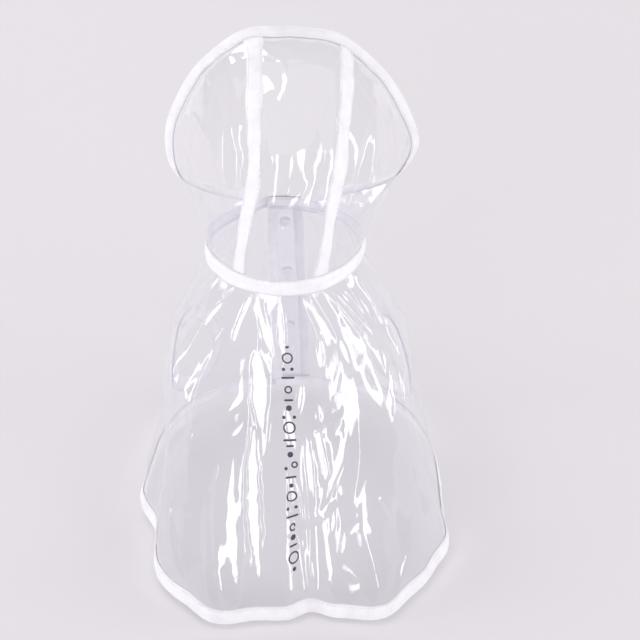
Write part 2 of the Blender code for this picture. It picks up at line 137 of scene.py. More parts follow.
# Creases of the body: start turn (degrees) and down, end turn and down, bow, half width and
# height (millimetres). A negative height is a trough.
BODY_CREASES: Rows = (
    # the mid back's standing fold and the two long ridges beside it
    (-6, 0.40, -5, 1.02, 2, 6, 2.4),
    (-2, 0.52, -9, 0.98, -3, 5, 1.2),
    (22, 0.16, 18, 0.94, 4, 9, 1.5),
    (31, 0.40, 20, 0.98, -5, 8, 1.3),
    (10, 0.10, 13, 0.55, 3, 6, 0.9),
    (13, 0.50, 9, 0.97, -3, 6, 1.1),
    (36, 0.55, 27, 1.00, 4, 7, 1.0),
    # the loops on the right of the back
    (-14, 0.30, -20, 0.64, -4, 7, 1.6),
    (-33, 0.38, -20, 0.64, 4, 7, 1.6),
    (-16, 0.44, -33, 0.38, 3, 5, 1.2),
    (-22, 0.62, -26, 0.97, 3, 7, 1.2),
    (-30, 0.60, -37, 0.78, 2, 7, 1.2),
    (-27, 0.80, -44, 0.97, -3, 7, 1.1),
    (-38, 0.92, -46, 0.78, 3, 6, 1.3),
    # slanting pleats from the neck seam, right shoulder
    (-10, 0.02, -22, 0.26, 3, 5, 1.1),
    (-20, 0.02, -34, 0.24, 3, 4, 1.0),
    (-30, 0.02, -48, 0.25, 3, 4, 1.3),
    (-36, 0.03, -52, 0.24, 2, 3, 1.1),
    (-43, 0.03, -57, 0.26, 2, 4, 1.3),
    (-50, 0.04, -60, 0.30, 2, 4, 0.9),
    (-62, 0.03, -70, 0.28, 3, 5, 1.2),
    # slanting pleats from the neck seam, left shoulder
    (4, 0.02, 2, 0.22, 2, 5, 0.9),
    (16, 0.02, 18, 0.24, -2, 5, 1.1),
    (28, 0.02, 36, 0.22, -2, 4, 1.0),
    (38, 0.02, 58, 0.20, -3, 4, 1.2),
    (48, 0.03, 60, 0.30, -2, 5, 1.2),
    (60, 0.03, 74, 0.26, -3, 5, 1.1),
    (44, 0.22, 46, 0.48, -4, 6, 1.1),
    # right flank, running down to the hem
    (-56, 0.20, -47, 0.50, 3, 6, 1.4),
    (-64, 0.26, -58, 0.60, -3, 6, 1.3),
    (-74, 0.22, -66, 0.50, 3, 6, 1.5),
    (-80, 0.36, -74, 0.74, 4, 7, 1.4),
    (-54, 0.58, -62, 0.97, -4, 8, 1.3),
    (-72, 0.62, -82, 0.96, 4, 8, 1.2),
    (-90, 0.14, -96, 0.44, 3, 7, 1.2),
    # left flank, with the bowed line over the haunch
    (42, 0.46, 54, 0.70, -4, 5, 1.6),
    (54, 0.68, 35, 0.96, -6, 5, 1.6),
    (58, 0.30, 68, 0.62, 4, 7, 1.2),
    (72, 0.34, 82, 0.72, 4, 8, 1.2),
    (64, 0.66, 58, 0.98, 3, 7, 1.1),
    (84, 0.70, 92, 0.97, -4, 8, 1.3),
    (86, 0.10, 94, 0.40, 3, 7, 1.2),
    (98, 0.46, 104, 0.90, 4, 8, 1.0),
    (-98, 0.52, -106, 0.94, -4, 8, 1.1),
    # pulls round the leg holes
    (112, 0.40, 124, 0.52, 3, 5, 1.2),
    (140, 0.34, 136, 0.50, 2, 5, 1.1),
    (150, 0.50, 160, 0.42, -2, 5, 1.2),
    (152, 0.74, 168, 0.74, 3, 5, 1.0),
    (120, 0.88, 126, 1.00, 3, 6, 1.1),
    (-112, 0.44, -122, 0.56, 3, 5, 1.2),
    (-138, 0.40, -135, 0.54, 2, 5, 1.1),
    (-150, 0.58, -164, 0.44, -2, 5, 1.2),
    (-150, 0.82, -168, 0.73, 3, 5, 1.0),
    (-126, 0.92, -130, 1.02, 3, 6, 1.0),
    # pleats from the neck seam down the chest, and pulls from the press studs
    (104, 0.03, 108, 0.30, -3, 6, 1.1),
    (122, 0.03, 124, 0.24, 2, 5, 1.2),
    (140, 0.03, 146, 0.26, 2, 5, 1.1),
    (158, 0.03, 162, 0.34, -2, 5, 1.0),
    (-104, 0.03, -106, 0.32, 3, 6, 1.1),
    (-124, 0.03, -128, 0.22, 2, 5, 1.2),
    (-144, 0.03, -148, 0.28, 2, 5, 1.1),
    (-162, 0.03, -160, 0.30, -2, 5, 0.9),
    (172, 0.44, 156, 0.62, 3, 5, 1.0),
    (-172, 0.45, -158, 0.66, 3, 5, 1.0),
    (172, 0.74, 158, 0.90, -2, 6, 1.1),
    (-172, 0.74, -156, 0.94, -2, 6, 1.1),
)

# Creases of the hood: start across and up, end across and up, bow, half width and height
# (millimetres).
HOOD_CREASES: Rows = (
    # centre panel
    (0.19, 0.90, 0.11, 0.78, 2, 3, 1.2),
    (0.12, 0.81, 0.08, 0.67, -1, 3, 1.3),
    (0.08, 0.69, 0.18, 0.54, -3, 3, 1.3),
    (0.17, 0.74, 0.10, 0.62, 2, 3, 0.9),
    (-0.04, 0.70, -0.05, 0.60, -1, 3, 0.9),
    (-0.11, 0.66, -0.12, 0.54, 1, 3, 1.0),
    (-0.06, 0.41, 0.06, 0.27, 1, 3, 1.8),
    (0.17, 0.52, 0.15, 0.40, 1, 3, 1.0),
    (0.19, 0.24, 0.04, 0.20, -2, 3, 1.2),
    (0.12, 0.16, -0.06, 0.06, 2, 4, 1.2),
    (0.10, 0.30, 0.04, 0.10, 2, 5, 1.1),
    (-0.06, 0.26, -0.04, 0.06, -2, 5, 1.2),
    (0.01, 0.18, 0.00, 0.04, 2, 4, 0.9),
    # right side panel, behind the ear to the neck seam
    (-0.22, 0.82, -0.33, 0.62, 2, 5, 1.3),
    (-0.28, 0.92, -0.26, 0.70, -2, 5, 1.0),
    (-0.38, 0.86, -0.44, 0.62, 3, 6, 1.2),
    (-0.54, 0.90, -0.52, 0.56, 3, 6, 1.3),
    (-0.36, 0.54, -0.28, 0.26, -3, 6, 1.4),
    (-0.50, 0.48, -0.38, 0.20, 3, 6, 1.3),
    (-0.24, 0.34, -0.23, 0.08, 2, 5, 1.1),
    (-0.34, 0.24, -0.31, 0.04, 2, 5, 1.2),
    (-0.44, 0.24, -0.42, 0.04, 2, 4, 1.1),
    (-0.56, 0.30, -0.52, 0.05, -2, 5, 1.1),
    (-0.66, 0.70, -0.64, 0.24, 3, 6, 1.2),
    (-0.76, 0.84, -0.72, 0.20, -2, 5, 1.1),
    (-0.86, 0.80, -0.83, 0.16, 2, 4, 0.9),
    # left side panel
    (0.30, 0.92, 0.28, 0.60, 2, 6, 1.2),
    (0.40, 0.88, 0.36, 0.60, -2, 5, 1.0),
    (0.52, 0.84, 0.42, 0.50, 3, 6, 1.4),
    (0.44, 0.54, 0.37, 0.26, -3, 6, 1.4),
    (0.60, 0.76, 0.56, 0.42, 3, 6, 1.2),
    (0.55, 0.44, 0.46, 0.14, 3, 5, 1.3),
    (0.32, 0.34, 0.29, 0.06, 2, 5, 1.1),
    (0.38, 0.20, 0.36, 0.03, -2, 4, 1.1),
    (0.48, 0.20, 0.47, 0.04, 2, 5, 1.1),
    (0.62, 0.34, 0.57, 0.05, 2, 5, 1.0),
    (0.70, 0.80, 0.66, 0.28, 3, 6, 1.2),
    (0.80, 0.84, 0.75, 0.18, -2, 5, 1.1),
    (0.88, 0.78, 0.86, 0.18, 2, 4, 0.9),
)

# Places where the film is drawn flat between two folds: start turn (degrees) and down, end
# turn and down, half width (millimetres) and the way it faces (degrees from straight back).
BODY_FLATS: Rows = (
    # beside the mid back, on the left
    (23, 0.04, 9, 0.20, 4.5, 11),
    (19, 0.19, 13, 0.40, 8.5, 11),
    (17, 0.39, 13, 0.82, 7.5, 12),
    (24, 0.47, 18, 0.94, 5.5, 12),
    (31, 0.38, 23, 0.31, 4.5, 12),
    (31, 0.47, 21, 0.38, 4.0, 12),
    (2, 0.34, -2, 0.46, 4.0, 12),
    (1, 0.50, -3, 0.76, 5.0, 12),
    # the loops and small glints on the right
    (-33, 0.31, -25, 0.46, 7.0, -17),
    (-26, 0.42, -10, 0.64, 5.0, -23),
    (-8, 0.41, -9, 0.63, 3.2, -21),
    (-8, 0.41, -29, 0.34, 3.2, -31),
    (-31, 0.55, -23, 0.64, 4.0, -17),
    (-16, 0.62, -14, 0.71, 4.0, -22),
    (-25, 0.65, -19, 0.71, 3.0, 20),
    (-44, 0.81, -29, 0.97, 3.5, -7),
    (-7, 0.27, -4, 0.36, 3.0, -21),
    (-21, 0.15, -19, 0.24, 3.0, -18),
    (-30, 0.25, -21, 0.33, 3.2, -16),
    (-33, 0.18, -35, 0.26, 4.0, -18),
    # the right flank
    (-58, 0.24, -46, 0.40, 3.0, -41),
    (-65, 0.31, -51, 0.48, 3.0, -41),
)

# The same for the hood: start across and up, end across and up.
HOOD_FLATS: Rows = (
    (-0.09, 0.62, -0.05, 0.20, 13.0, -8),
    (0.09, 0.60, 0.11, 0.18, 10.0, 0),
    (0.34, 0.66, 0.34, 0.26, 12.0, 27),
    (-0.29, 0.64, -0.26, 0.26, 11.0, -34),
)

# Turned profiles of a press stud's two halves, from the foot's rim to the middle: shares of
# its radius and of its height.
CAP_PROFILE: Rows = ((0.94, 0.00), (1.00, 0.18), (0.97, 0.50), (0.84, 0.82), (0.66, 0.97),
                     (0.52, 1.00), (0.44, 0.88), (0.30, 0.80), (0.00, 0.78))
STUD_PROFILE: Rows = ((0.94, 0.00), (1.00, 0.14), (0.96, 0.32), (0.62, 0.38), (0.46, 0.46),
                      (0.44, 0.66), (0.50, 0.82), (0.40, 0.98), (0.20, 1.00), (0.00, 1.00))

# The print down the mid back: motif, how far across and how far down (millimetres), radius
# or half length (millimetres).
PRINT_MOTIFS: Motifs = (
    ("dot", 0.0, 0.0, 1.6), ("ring", 0.0, 9.0, 4.2), ("dot", -3.2, 17.5, 1.3),
    ("dot", 3.2, 17.5, 1.3), ("bar", 0.0, 24.0, 5.0), ("ring", 0.0, 33.0, 3.0),
    ("bar", 0.0, 41.0, 3.4), ("dot", 0.0, 47.0, 2.2), ("dot", -4.0, 54.0, 1.3),
    ("dot", 4.0, 54.0, 1.3), ("ring", 0.0, 62.0, 4.8),
    ("bar", 0.0, 71.5, 5.0), ("bar", 0.0, 76.0, 3.0), ("dot", 0.0, 82.5, 2.2),
    ("ring", -3.0, 90.5, 2.6), ("dot", 3.6, 93.0, 1.3), ("bar", 0.0, 100.0, 4.2),
    ("dot", 0.0, 106.5, 1.6), ("ring", 0.0, 115.0, 4.2), ("dot", -3.2, 124.0, 1.3),
    ("dot", 3.2, 124.0, 1.3), ("bar", 0.0, 130.5, 5.0), ("ring", 0.0, 139.0, 3.0),
    ("dot", 0.0, 147.0, 2.2), ("bar", 0.0, 153.5, 3.4), ("ring", 0.0, 163.0, 4.8),
    ("dot", 0.0, 172.0, 1.6),
)


# ---- small tools
class Side(IntEnum):
    """The wearer's left and right: the sign of x there."""

    LEFT = 1
    RIGHT = -1

    @property
    def word(self) -> str:
        """Its name as it stands in the names of pieces."""
        return self.name.lower()


def linear(code: str) -> tuple[float, float, float, float]:
    """Turn an sRGB hex colour into a linear one.

    Args:
        code: Six hex digits, with or without a leading #.

    Returns:
        Red, green, blue and an alpha of one.
    """
    parts = [int(code.lstrip("#")[k:k + 2], 16) / 255 for k in (0, 2, 4)]
    red, green, blue = (c / 12.92 if c <= 0.04045 else ((c + 0.055) / 1.055) ** 2.4
                        for c in parts)
    return red, green, blue, 1.0


def ease(value: Array | float) -> Array:
    """Ease from 0 to 1 as the value passes from 0 to 1."""
    value = np.clip(value, 0.0, 1.0)
    return value * value * (3.0 - 2.0 * value)


def unit(vectors: Array) -> Array:
    """Vectors of length one along these."""
    return vectors / np.linalg.norm(vectors, axis=-1, keepdims=True)


def together(a: Array | float, b: Array | float) -> tuple[Array, Array]:
    """Two parameters as arrays of one shape."""
    return np.broadcast_arrays(np.atleast_1d(a), np.atleast_1d(b))


def looking(turn: float, rise: float) -> Array:
    """The direction turned from straight back, and raised, by these angles."""
    level = math.cos(rise)
    return np.array((math.sin(turn) * level, math.cos(turn) * level, math.sin(rise)))


def read_rows(rows: Rows, at: Array) -> Array:
    """Read a table at places along its first column, by a cubic through its rows.

    Args:
        rows: The table, with its keys in rising order in the first column.
        at: Places along the keys.

    Returns:
        The other columns, one row for each place.
    """
    table = np.array(rows, dtype=float)
    keys, at = table[:, 0], np.atleast_1d(np.asarray(at, dtype=float))
    i = np.clip(np.searchsorted(keys, at) - 1, 0, len(keys) - 2)
    step = keys[i + 1] - keys[i]
    low, high = np.maximum(i - 1, 0), np.minimum(i + 2, len(keys) - 1)
    slope_a = (table[i + 1] - table[low]) * (step / (keys[i + 1] - keys[low]))[:, None]
    slope_b = (table[high] - table[i]) * (step / (keys[high] - keys[i]))[:, None]
    t = ((at - keys[i]) / step)[:, None]
    return ((2 * t**3 - 3 * t**2 + 1) * table[i] + (t**3 - 2 * t**2 + t) * slope_a
            + (3 * t**2 - 2 * t**3) * table[i + 1] + (t**3 - t**2) * slope_b)[:, 1:]


def lobe(value: Array) -> Array:
    """A soft bump: one at the middle, zero beyond one either way."""
    return np.where(np.abs(value) < 1, np.cos(np.clip(value, -1, 1) * math.pi / 2) ** 2, 0.0)


class Nearest:
    """The points that lie near a line of straight stretches, and where on it they belong."""

    def __init__(self, points: Array, line: Array, room: float) -> None:
        """Find each near point's place on the line.

        Args:
            points: Points in space.
            line: The line's corners.
            room: How far outside the line's own box a point still counts as near.
        """
        self.index = np.flatnonzero(np.all((points > line.min(0) - room)
                                           & (points < line.max(0) + room), axis=1))
        self.points = points[self.index]
        self.gap = np.full(len(self.index), FAR)
        self.along = np.zeros(len(self.index))
        self.stretch = np.zeros(len(self.index), dtype=int)
        self.foot = np.zeros((len(self.index), 3))
        for k, (p, q) in enumerate(zip(line[:-1], line[1:])):
            t = np.clip((self.points - p) @ (q - p) / ((q - p) @ (q - p)), 0.0, 1.0)
            foot = p + t[:, None] * (q - p)
            gap = np.linalg.norm(self.points - foot, axis=1)
            closer = gap < self.gap
            self.gap[closer] = gap[closer]
            self.along[closer] = ((k + t) / (len(line) - 1))[closer]
            self.stretch[closer] = k
            self.foot[closer] = foot[closer]


# ---- cloth forms
@dataclass(frozen=True)
class Crease:
    """A crease of the film: a ridge or trough along a bowed line on its form."""

    start: tuple[float, float]
    end: tuple[float, float]
    bow: float
    half_width: float
    height: float
    fading: float = 0.3       # share of its length over which each end dies away
    tip_width: float = 0.45   # width at its ends, as a share of the middle's
    steepness: float = 1.7    # how sharply its sides rise to the crest
    samples: int = 9

    def line(self, form: "ClothForm") -> Array:
        """Lay the crease's line on a form.

        Args:
            form: The form that the crease lies on.

        Returns:
            Points along the line, in metres.
        """
        s = np.linspace(0.0, 1.0, self.samples)
        mid_a, mid_b = (np.array([(p + q) / 2]) for p, q in zip(self.start, self.end))
        size_a, size_b = form.size_a(mid_a, mid_b)[0], form.size_b(mid_a, mid_b)[0]
        run = ((self.end[0] - self.start[0]) * size_a, (self.end[1] - self.start[1]) * size_b)
        length = math.hypot(*run)
        aside = self.bow * np.sin(math.pi * s)
        a = self.start[0] + (self.end[0] - self.start[0]) * s - run[1] / length / size_a * aside
        b = self.start[1] + (self.end[1] - self.start[1]) * s + run[0] / length / size_b * aside
        return form.base(a, b)

    def relief(self, points: Array, line: Array) -> Array:
        """Find how far the crease lifts points of its form.

        Args:
            points: Points on the form.
            line: The crease's own line, as line() gives it.

        Returns:
            Heights along the form's outward normal.
        """
        heights = np.zeros(len(points))
        near = Nearest(points, line, self.half_width)
        taper = ease(np.minimum(near.along, 1 - near.along) / self.fading)
        width = self.half_width * (self.tip_width + (1 - self.tip_width) * taper)
        side = np.clip(1 - near.gap / width, 0.0, 1.0)
        heights[near.index] = self.height * taper * side**self.steepness
        return heights


@dataclass(frozen=True)
class FlatPlace:
    """A long narrow place where the film is drawn flat between two sharp folds."""

    start: tuple[float, float]
    end: tuple[float, float]
    half_width: float
    facing: float
    edge: float                   # share of the half width that the folds take
    upward: float = math.radians(33)
    ragged: float = 0.30          # how far the folds wander
    ragged_size: float = 0.011    # and over what length
    deepest: float = 0.004        # the most that the film moves in or out
    samples: int = 12

    def press(self, form: "ClothForm", points: Array, outward: Array, heights: Array) -> None:
        """Press the film flat here, in place of its creases.

        Args:
            form: The form that the film lies on.
            points: Points on the form.
            outward: The form's outward normals there.
            heights: The film's heights there; they are changed.
        """
        line = form.base(*(np.linspace(p, q, self.samples) for p, q in zip(self.start, self.end)))
        near = Nearest(points, line, self.half_width * (1 + self.ragged))
        flats = np.array([self.normal(way) for way in unit(np.diff(line, axis=0))])[near.stretch]
        rise = (np.sum((near.foot - near.points) * flats, axis=1)
                / np.sum(outward[near.index] * flats, axis=1))
        wander = np.array([noise.noise(Vector(point / self.ragged_size))
                           for point in near.points])
        half = self.half_width * (1 + self.ragged * wander) * np.sin(
            math.pi * np.clip(near.along, 0, 1)) ** 0.5
        share = 1 - ease((near.gap / np.maximum(half, MERGE) - 1 + self.edge) / self.edge)
        rise = np.clip(rise, -self.deepest, self.deepest)
        heights[near.index] += share * (rise - heights[near.index])

    def normal(self, way: Array) -> Array:
        """The way the flat place looks, at right angles to its length."""
        look = looking(self.facing, self.upward)
        return unit(look - (look @ way) * way)


@dataclass(frozen=True)
class Crumple:
    """Fine crumpling of soft film: a net of pinched lines round smooth facets, and swells."""

    facet: tuple[float, float, float] = (0.024, 0.024, 0.075)
    pinch: float = 0.0005
    swell_size: tuple[float, float, float] = (0.030, 0.030, 0.070)
    swell: float = 0.0008
    stir: float = 0.35            # how far the facets are pulled out of shape
    stir_size: float = 0.045
    line_width: float = 0.45      # share of a facet that its pinched edge takes
    line_sharpness: float = 1.6

    def relief(self, points: Array) -> Array:
        """Find the crumpling's heights.

        Args:
            points: Points on a form.

        Returns:
            Heights along the form's outward normal.
        """
        heights = np.zeros(len(points))
        for k, point in enumerate(points):
            swell_at = Vector(point / self.swell_size)
            stir = self.stir * noise.noise_vector(Vector(point / self.stir_size))
            near, far = noise.voronoi(Vector(point / self.facet) + stir)[0][:2]
            line = max(0.0, 1.0 - (far - near) / self.line_width)
            heights[k] = (self.pinch * line**self.line_sharpness
                          + self.swell * noise.noise(swell_at))
        return heights


class ClothForm(ABC):
    """A curved surface with two parameters, a and b, that film and tapes lie on."""

    out: float                    # 1 where along_a x along_b looks out, -1 where it looks in
    creases: tuple[Crease, ...]
    flats: tuple[FlatPlace, ...] = ()
    crumple: Crumple
    edge_creasing: float = 0.35   # share of the creasing that is left right at an edge

    @abstractmethod
    def base(self, a: Array, b: Array) -> Array:
        """Points of the form without its creases."""

    @abstractmethod
    def calm(self, a: Array, b: Array) -> Array:
        """How much of the creasing is left at a place, from 0 to 1."""

    def size_a(self, a: Array, b: Array) -> Array:
        """Metres per unit of the first parameter."""
        return np.linalg.norm(self.along_a(a, b), axis=1) / (2 * NUDGE)

    def size_b(self, a: Array, b: Array) -> Array:
        """Metres per unit of the second parameter."""
        return np.linalg.norm(self.along_b(a, b), axis=1) / (2 * NUDGE)

    def along_a(self, a: Array, b: Array) -> Array:
        """The short way across two steps of the first parameter."""
        return self.base(a + NUDGE, b) - self.base(a - NUDGE, b)

    def along_b(self, a: Array, b: Array) -> Array:
        """The short way across two steps of the second parameter."""
        return self.base(a, b + NUDGE) - self.base(a, b - NUDGE)

    def outward(self, a: Array, b: Array) -> Array:
        """Unit normals that look away from the hollow inside."""
        return unit(np.cross(self.along_a(a, b), self.along_b(a, b))) * self.out

    def fade(self, distance: Array, reach: float) -> Array:
        """Share of the creasing that is left at a distance from an edge: all of it at reach."""
        return self.edge_creasing + (1 - self.edge_creasing) * ease(distance / reach)

    def relief(self, a: Array, b: Array, points: Array, outward: Array) -> Array:
        """Find how far the creases lift the cloth.

        Args:
            a: First parameters.
            b: Second parameters.
            points: The base points at those places.
            outward: The outward normals there.

        Returns:
            Heights along the outward normals.
        """
        total = self.crumple.relief(points)
        for crease in self.creases:
            total += crease.relief(points, crease.line(self))
        total *= self.calm(a, b)
        for flat in self.flats:
            flat.press(self, points, outward, total)
        return total

    def cloth(self, a: Array, b: Array, height: Array | float = 0.0) -> Array:
        """Find points of the creased cloth.

        Args:
            a: First parameters.
            b: Second parameters.
            height: How far outside the cloth the points lie.

        Returns:
            The points, one row each.
        """
        points, outward = self.base(a, b), self.outward(a, b)
        lift = self.relief(a, b, points, outward) + height
        return points + outward * lift[:, None]


def crease_table(rows: Rows, turn: float) -> tuple[Crease, ...]:
    """Read a table of creases.

    Args:
        rows: Start, end, bow, half width and height of each crease.
        turn: What the first parameter's numbers are multiplied by.

    Returns:
        The creases.
    """
    return tuple(Crease((r[0] * turn, r[1]), (r[2] * turn, r[3]), *(x / 1000 for x in r[4:]))
                 for r in rows)


def flat_table(rows: Rows, turn: float, edge: float) -> tuple[FlatPlace, ...]:
    """Read a table of flat places.

    Args:
        rows: Start, end, half width and facing of each place.
        turn: What the first parameter's numbers are multiplied by.
        edge: Share of the half width that the folds beside them take.

    Returns:
        The flat places.
    """
    return tuple(FlatPlace((r[0] * turn, r[1]), (r[2] * turn, r[3]), r[4] / 1000,
                           math.radians(r[5]), edge) for r in rows)


@dataclass
class BodyForm(ClothForm):
    """The body of the cape. a is the turn from the mid back, b runs from neck seam to hem."""

    rings: Rows = BODY_RINGS
    folds: Rows = BODY_FOLDS
    sway: float = -0.004
    lap_half: float = 0.014
    lap_rise: float = 0.0046
    lap_slope: float = 0.0135
    lap_seat: float = 0.0015        # how far beyond the lower edge the slope ends
    fold_fading: float = 0.35       # share of its stretch over which a fold comes and goes
    leg_turn: float = math.radians(133)
    leg_down: dict[Side, float] = field(
        default_factory=lambda: {Side.LEFT: 0.66, Side.RIGHT: 0.71})
    leg_half_width: float = 0.024
    leg_half_height: float = 0.038
    leg_slant: float = 0.13
    length: float = 0.24            # rough sizes that turn shares into distances
    radius: float = 0.09
    leg_radius: float = 0.030
    calm_reach: float = 0.022
    out: float = 1.0
    creases: tuple[Crease, ...] = crease_table(BODY_CREASES, math.radians(1))
    flats: tuple[FlatPlace, ...] = flat_table(BODY_FLATS, math.radians(1), 0.34)
    crumple: Crumple = Crumple()

    def base(self, a: Array, b: Array) -> Array:
        """Find points of the body without its creases.

        Args:
            a: Turns from the mid back.
            b: Downs from the neck seam.

        Returns:
            The points, one row each.
        """
        a, b = together(a, b)
        half, mid_y, mid_z, back_y, back_z, front_y, front_z, square = read_rows(
            self.rings, b).T
        c, s = np.cos(a), np.sin(a)
        end_y, end_z = np.where(c > 0, back_y, front_y), np.where(c > 0, back_z, front_z)
        power = np.where(c > 0, square, ELLIPSE + (square - ELLIPSE) / 2)
        radius = (np.abs(s / half) ** power
                  + np.abs(c / (end_y - mid_y)) ** power) ** (-1 / power)
        radius = radius + self.fold_height(a, b) + self.lap_height(a, half)
        return np.stack((radius * s + self.sway * b, mid_y + radius * c,
                         mid_z + (end_z - mid_z) * c * c), axis=1)

    def fold_height(self, a: Array, b: Array) -> Array:
        """Find how far the broad folds push the film out.

        Args:
            a: Turns from the mid back.
            b: Downs from the neck seam.

        Returns:
            Heights.
        """
        total = np.zeros(len(a))
        for start, end, half, height, first, last in self.folds:
            along = (b - first) / (last - first)
            middle = np.radians(start + (end - start) * along)
            strength = ease(along / self.fold_fading) * ease((1 - along) / self.fold_fading)
            total += height * strength * lobe((a - middle) / math.radians(half))
        return total

    def lap_height(self, a: Array, half_width: Array) -> Array:
        """How far the left front is lifted to lie over the right one."""
        before_edge = (math.pi - a) * half_width - self.lap_half - self.lap_seat
        return self.lap_rise * ease(1.0 - before_edge / self.lap_slope)

    def end(self, b: Array) -> Array:
        """The turn at which the film ends at the front."""
        return math.pi + self.lap_half / read_rows(self.rings, b)[:, 0]

    def leg_middle(self, side: Side) -> tuple[float, float, float, float]:
        """Find the middle of a leg hole.

        Args:
            side: Which leg hole.

        Returns:
            Its turn and down, and the metres per unit of each one there.
        """
        turn, down = side * self.leg_turn, self.leg_down[side]
        here = np.array([turn]), np.array([down])
        return turn, down, self.size_a(*here)[0], self.size_b(*here)[0]

    def leg_rim(self, side: Side, angle: Array, inset: Array | float) -> tuple[Array, Array]:
        """Find places round a leg hole.

        Args:
            side: Which leg hole.
            angle: Angles round the hole.
            inset: Distance outside the rim.

        Returns:
            Turns and downs.
        """
        turn, down, size_a, size_b = self.leg_middle(side)
        half_turn = (self.leg_half_width + inset) / size_a
        half_down = (self.leg_half_height + inset) / size_b
        return (turn + side * self.leg_slant * np.sin(angle) + half_turn * np.cos(angle),
                down + half_down * np.sin(angle))

    def leg_share(self, side: Side, a: Array, b: Array) -> tuple[Array, Array]:
        """Find where places lie towards a leg hole's rim.

        Args:
            side: Which leg hole.
            a: Turns.
            b: Downs.

        Returns:
            Distances from the hole's middle as shares of the rim's, and rim angles.
        """
        turn, down, size_a, size_b = self.leg_middle(side)
        v = (b - down) * size_b / self.leg_half_height
        u = (a - turn - side * self.leg_slant * v) * size_a / self.leg_half_width
        return np.hypot(u, v), np.arctan2(v, u)

    def calm(self, a: Array, b: Array) -> Array:
        """Find how much of the creasing is left near the bound edges.

        Args:
            a: Turns from the mid back.
            b: Downs from the neck seam.

        Returns:
            Shares from 0 to 1.
        """
        a, b = together(a, b)
        edge = np.minimum(np.minimum(b, 1 - b) * self.length,
                          (self.end(b) - np.abs(a)) * self.radius)
        for side in Side:
            edge = np.minimum(edge, (self.leg_share(side, a, b)[0] - 1) * self.leg_radius)
        return self.fade(edge, self.calm_reach)


@dataclass
class HoodForm(ClothForm):
    """The hood. a runs from the right front corner to the left, b from neck to face edge."""

    body: BodyForm = field(default_factory=BodyForm)
    face_edge: Rows = FACE_EDGE
    twist: Rows = HOOD_TWIST
    dents: Rows = HOOD_DENTS
    span: float = math.radians(152)
    seams: Rows = HOOD_SEAMS
    lean: float = -0.008
    roll: float = 0.060
    lean_height: float = 0.06       # where lean and roll reach their full size
    hinge: tuple[float, float] = (-0.105, 0.008)
    bulge: float = 0.019
    brim: float = 0.0052            # how far the film sinks in behind the face edge
    brim_step: float = 0.0105       # width of the step down from the edge
    brim_back: float = 0.075        # where the film is back on its own form
    brim_fading: float = 0.064
    brim_least: float = 0.045       # height of the hood where the brim starts
    brim_growth: float = 0.085
    face_middle: float = 0.062
    height: float = 0.13            # rough sizes that turn shares into distances
    half_span: float = 0.16
    seam_calm: float = 0.006        # a seam calms the film as an edge this far off does
    calm_reach: float = 0.018
    out: float = -1.0
    creases: tuple[Crease, ...] = crease_table(HOOD_CREASES, 1.0)
    flats: tuple[FlatPlace, ...] = flat_table(HOOD_FLATS, 1.0, 0.75)
    crumple: Crumple = Crumple((0.020, 0.020, 0.050), 0.0004, (0.028, 0.028, 0.055), 0.0005)

    def base(self, a: Array, b: Array) -> Array:
        """Find points of the hood without its creases.

        Args:
            a: Places across.
            b: Places up.

        Returns:
            The points, one row each.
        """
        a, b = together(a, b)
        across = a + read_rows(self.twist, b)[:, 0] * (1 - a * a)
        start = self.body.base(across * self.span, np.zeros(len(a)))
        x, y, z = read_rows(self.face_edge, np.abs(across)).T
        end = np.stack((np.copysign(x, across), y, z), axis=1)
        low_angle, low_radius = self.polar(start)
        high_angle, high_radius = self.polar(end)
        rounding = (1 - across * across) * np.sin(math.pi * b)
        radius = low_radius + (high_radius - low_radius) * b + self.bulge * rounding
        for mid_a, mid_b, half_a, half_b, height in self.dents:
            radius = radius + height * lobe((across - mid_a) / half_a) * lobe(
                (b - mid_b) / half_b)
        angle = low_angle + (high_angle - low_angle) * b
        x = start[:, 0] + (end[:, 0] - start[:, 0]) * b
        z = self.hinge[1] + radius * np.sin(angle)
        share = ease(z / self.lean_height)
        points = np.stack((x + self.lean * share, self.hinge[0] + radius * np.cos(angle),
                           z + self.roll * x * share), axis=1)
        outward = unit(points * (1, 0, 1) - (0, 0, self.face_middle))
        return points - outward * self.sunk(np.linalg.norm(end - start, axis=1), b)[:, None]

    def sunk(self, length: Array, b: Array) -> Array:
        """Find how far the film sinks in behind the stiff face edge, which stands out.

        Args:
            length: Distances straight from the neck seam to the face edge.
            b: Places up the hood.

        Returns:
            Distances.
        """
        back = (1 - b) * length
        share = np.minimum(back / self.brim_step,
                           ease((self.brim_back - back) / self.brim_fading))
        return self.brim * share * ease((length - self.brim_least) / self.brim_growth)

    def polar(self, points: Array) -> tuple[Array, Array]:
        """Angles and radii of points round the hinge line."""
        y, z = points[:, 1] - self.hinge[0], points[:, 2] - self.hinge[1]
        return np.arctan2(z, y), np.hypot(y, z)

    def seam(self, side: Side, inset: Array | float, b: Array) -> tuple[Array, Array]:
        """Find places at a distance from a hood seam.

        Args:
            side: Which seam.
            inset: Distance from the seam, positive away from the middle.
            b: Places up the seam.

        Returns:
            Places across and up.
        """
        across = side * self.seam_across(side, b)
        return across + side * inset / self.size_a(across, b), b

    def seam_across(self, side: Side, b: Array) -> Array:
        """How far from the middle a seam runs."""
        return read_rows(self.seams, b)[:, 0 if side is Side.LEFT else 1]

    def calm(self, a: Array, b: Array) -> Array:
        """Find how much of the creasing is left near the seams and face edge.

        Args:
            a: Places across.
            b: Places up.

        Returns:
            Shares from 0 to 1.
        """
        a, b = together(a, b)
        edge = np.minimum(b * self.height, (1 - b) * self.height)
        for side in Side:
            gap = np.abs(a - side * self.seam_across(side, b))
            edge = np.minimum(edge, gap * self.half_span + self.seam_calm)
        return self.fade(edge, self.calm_reach)


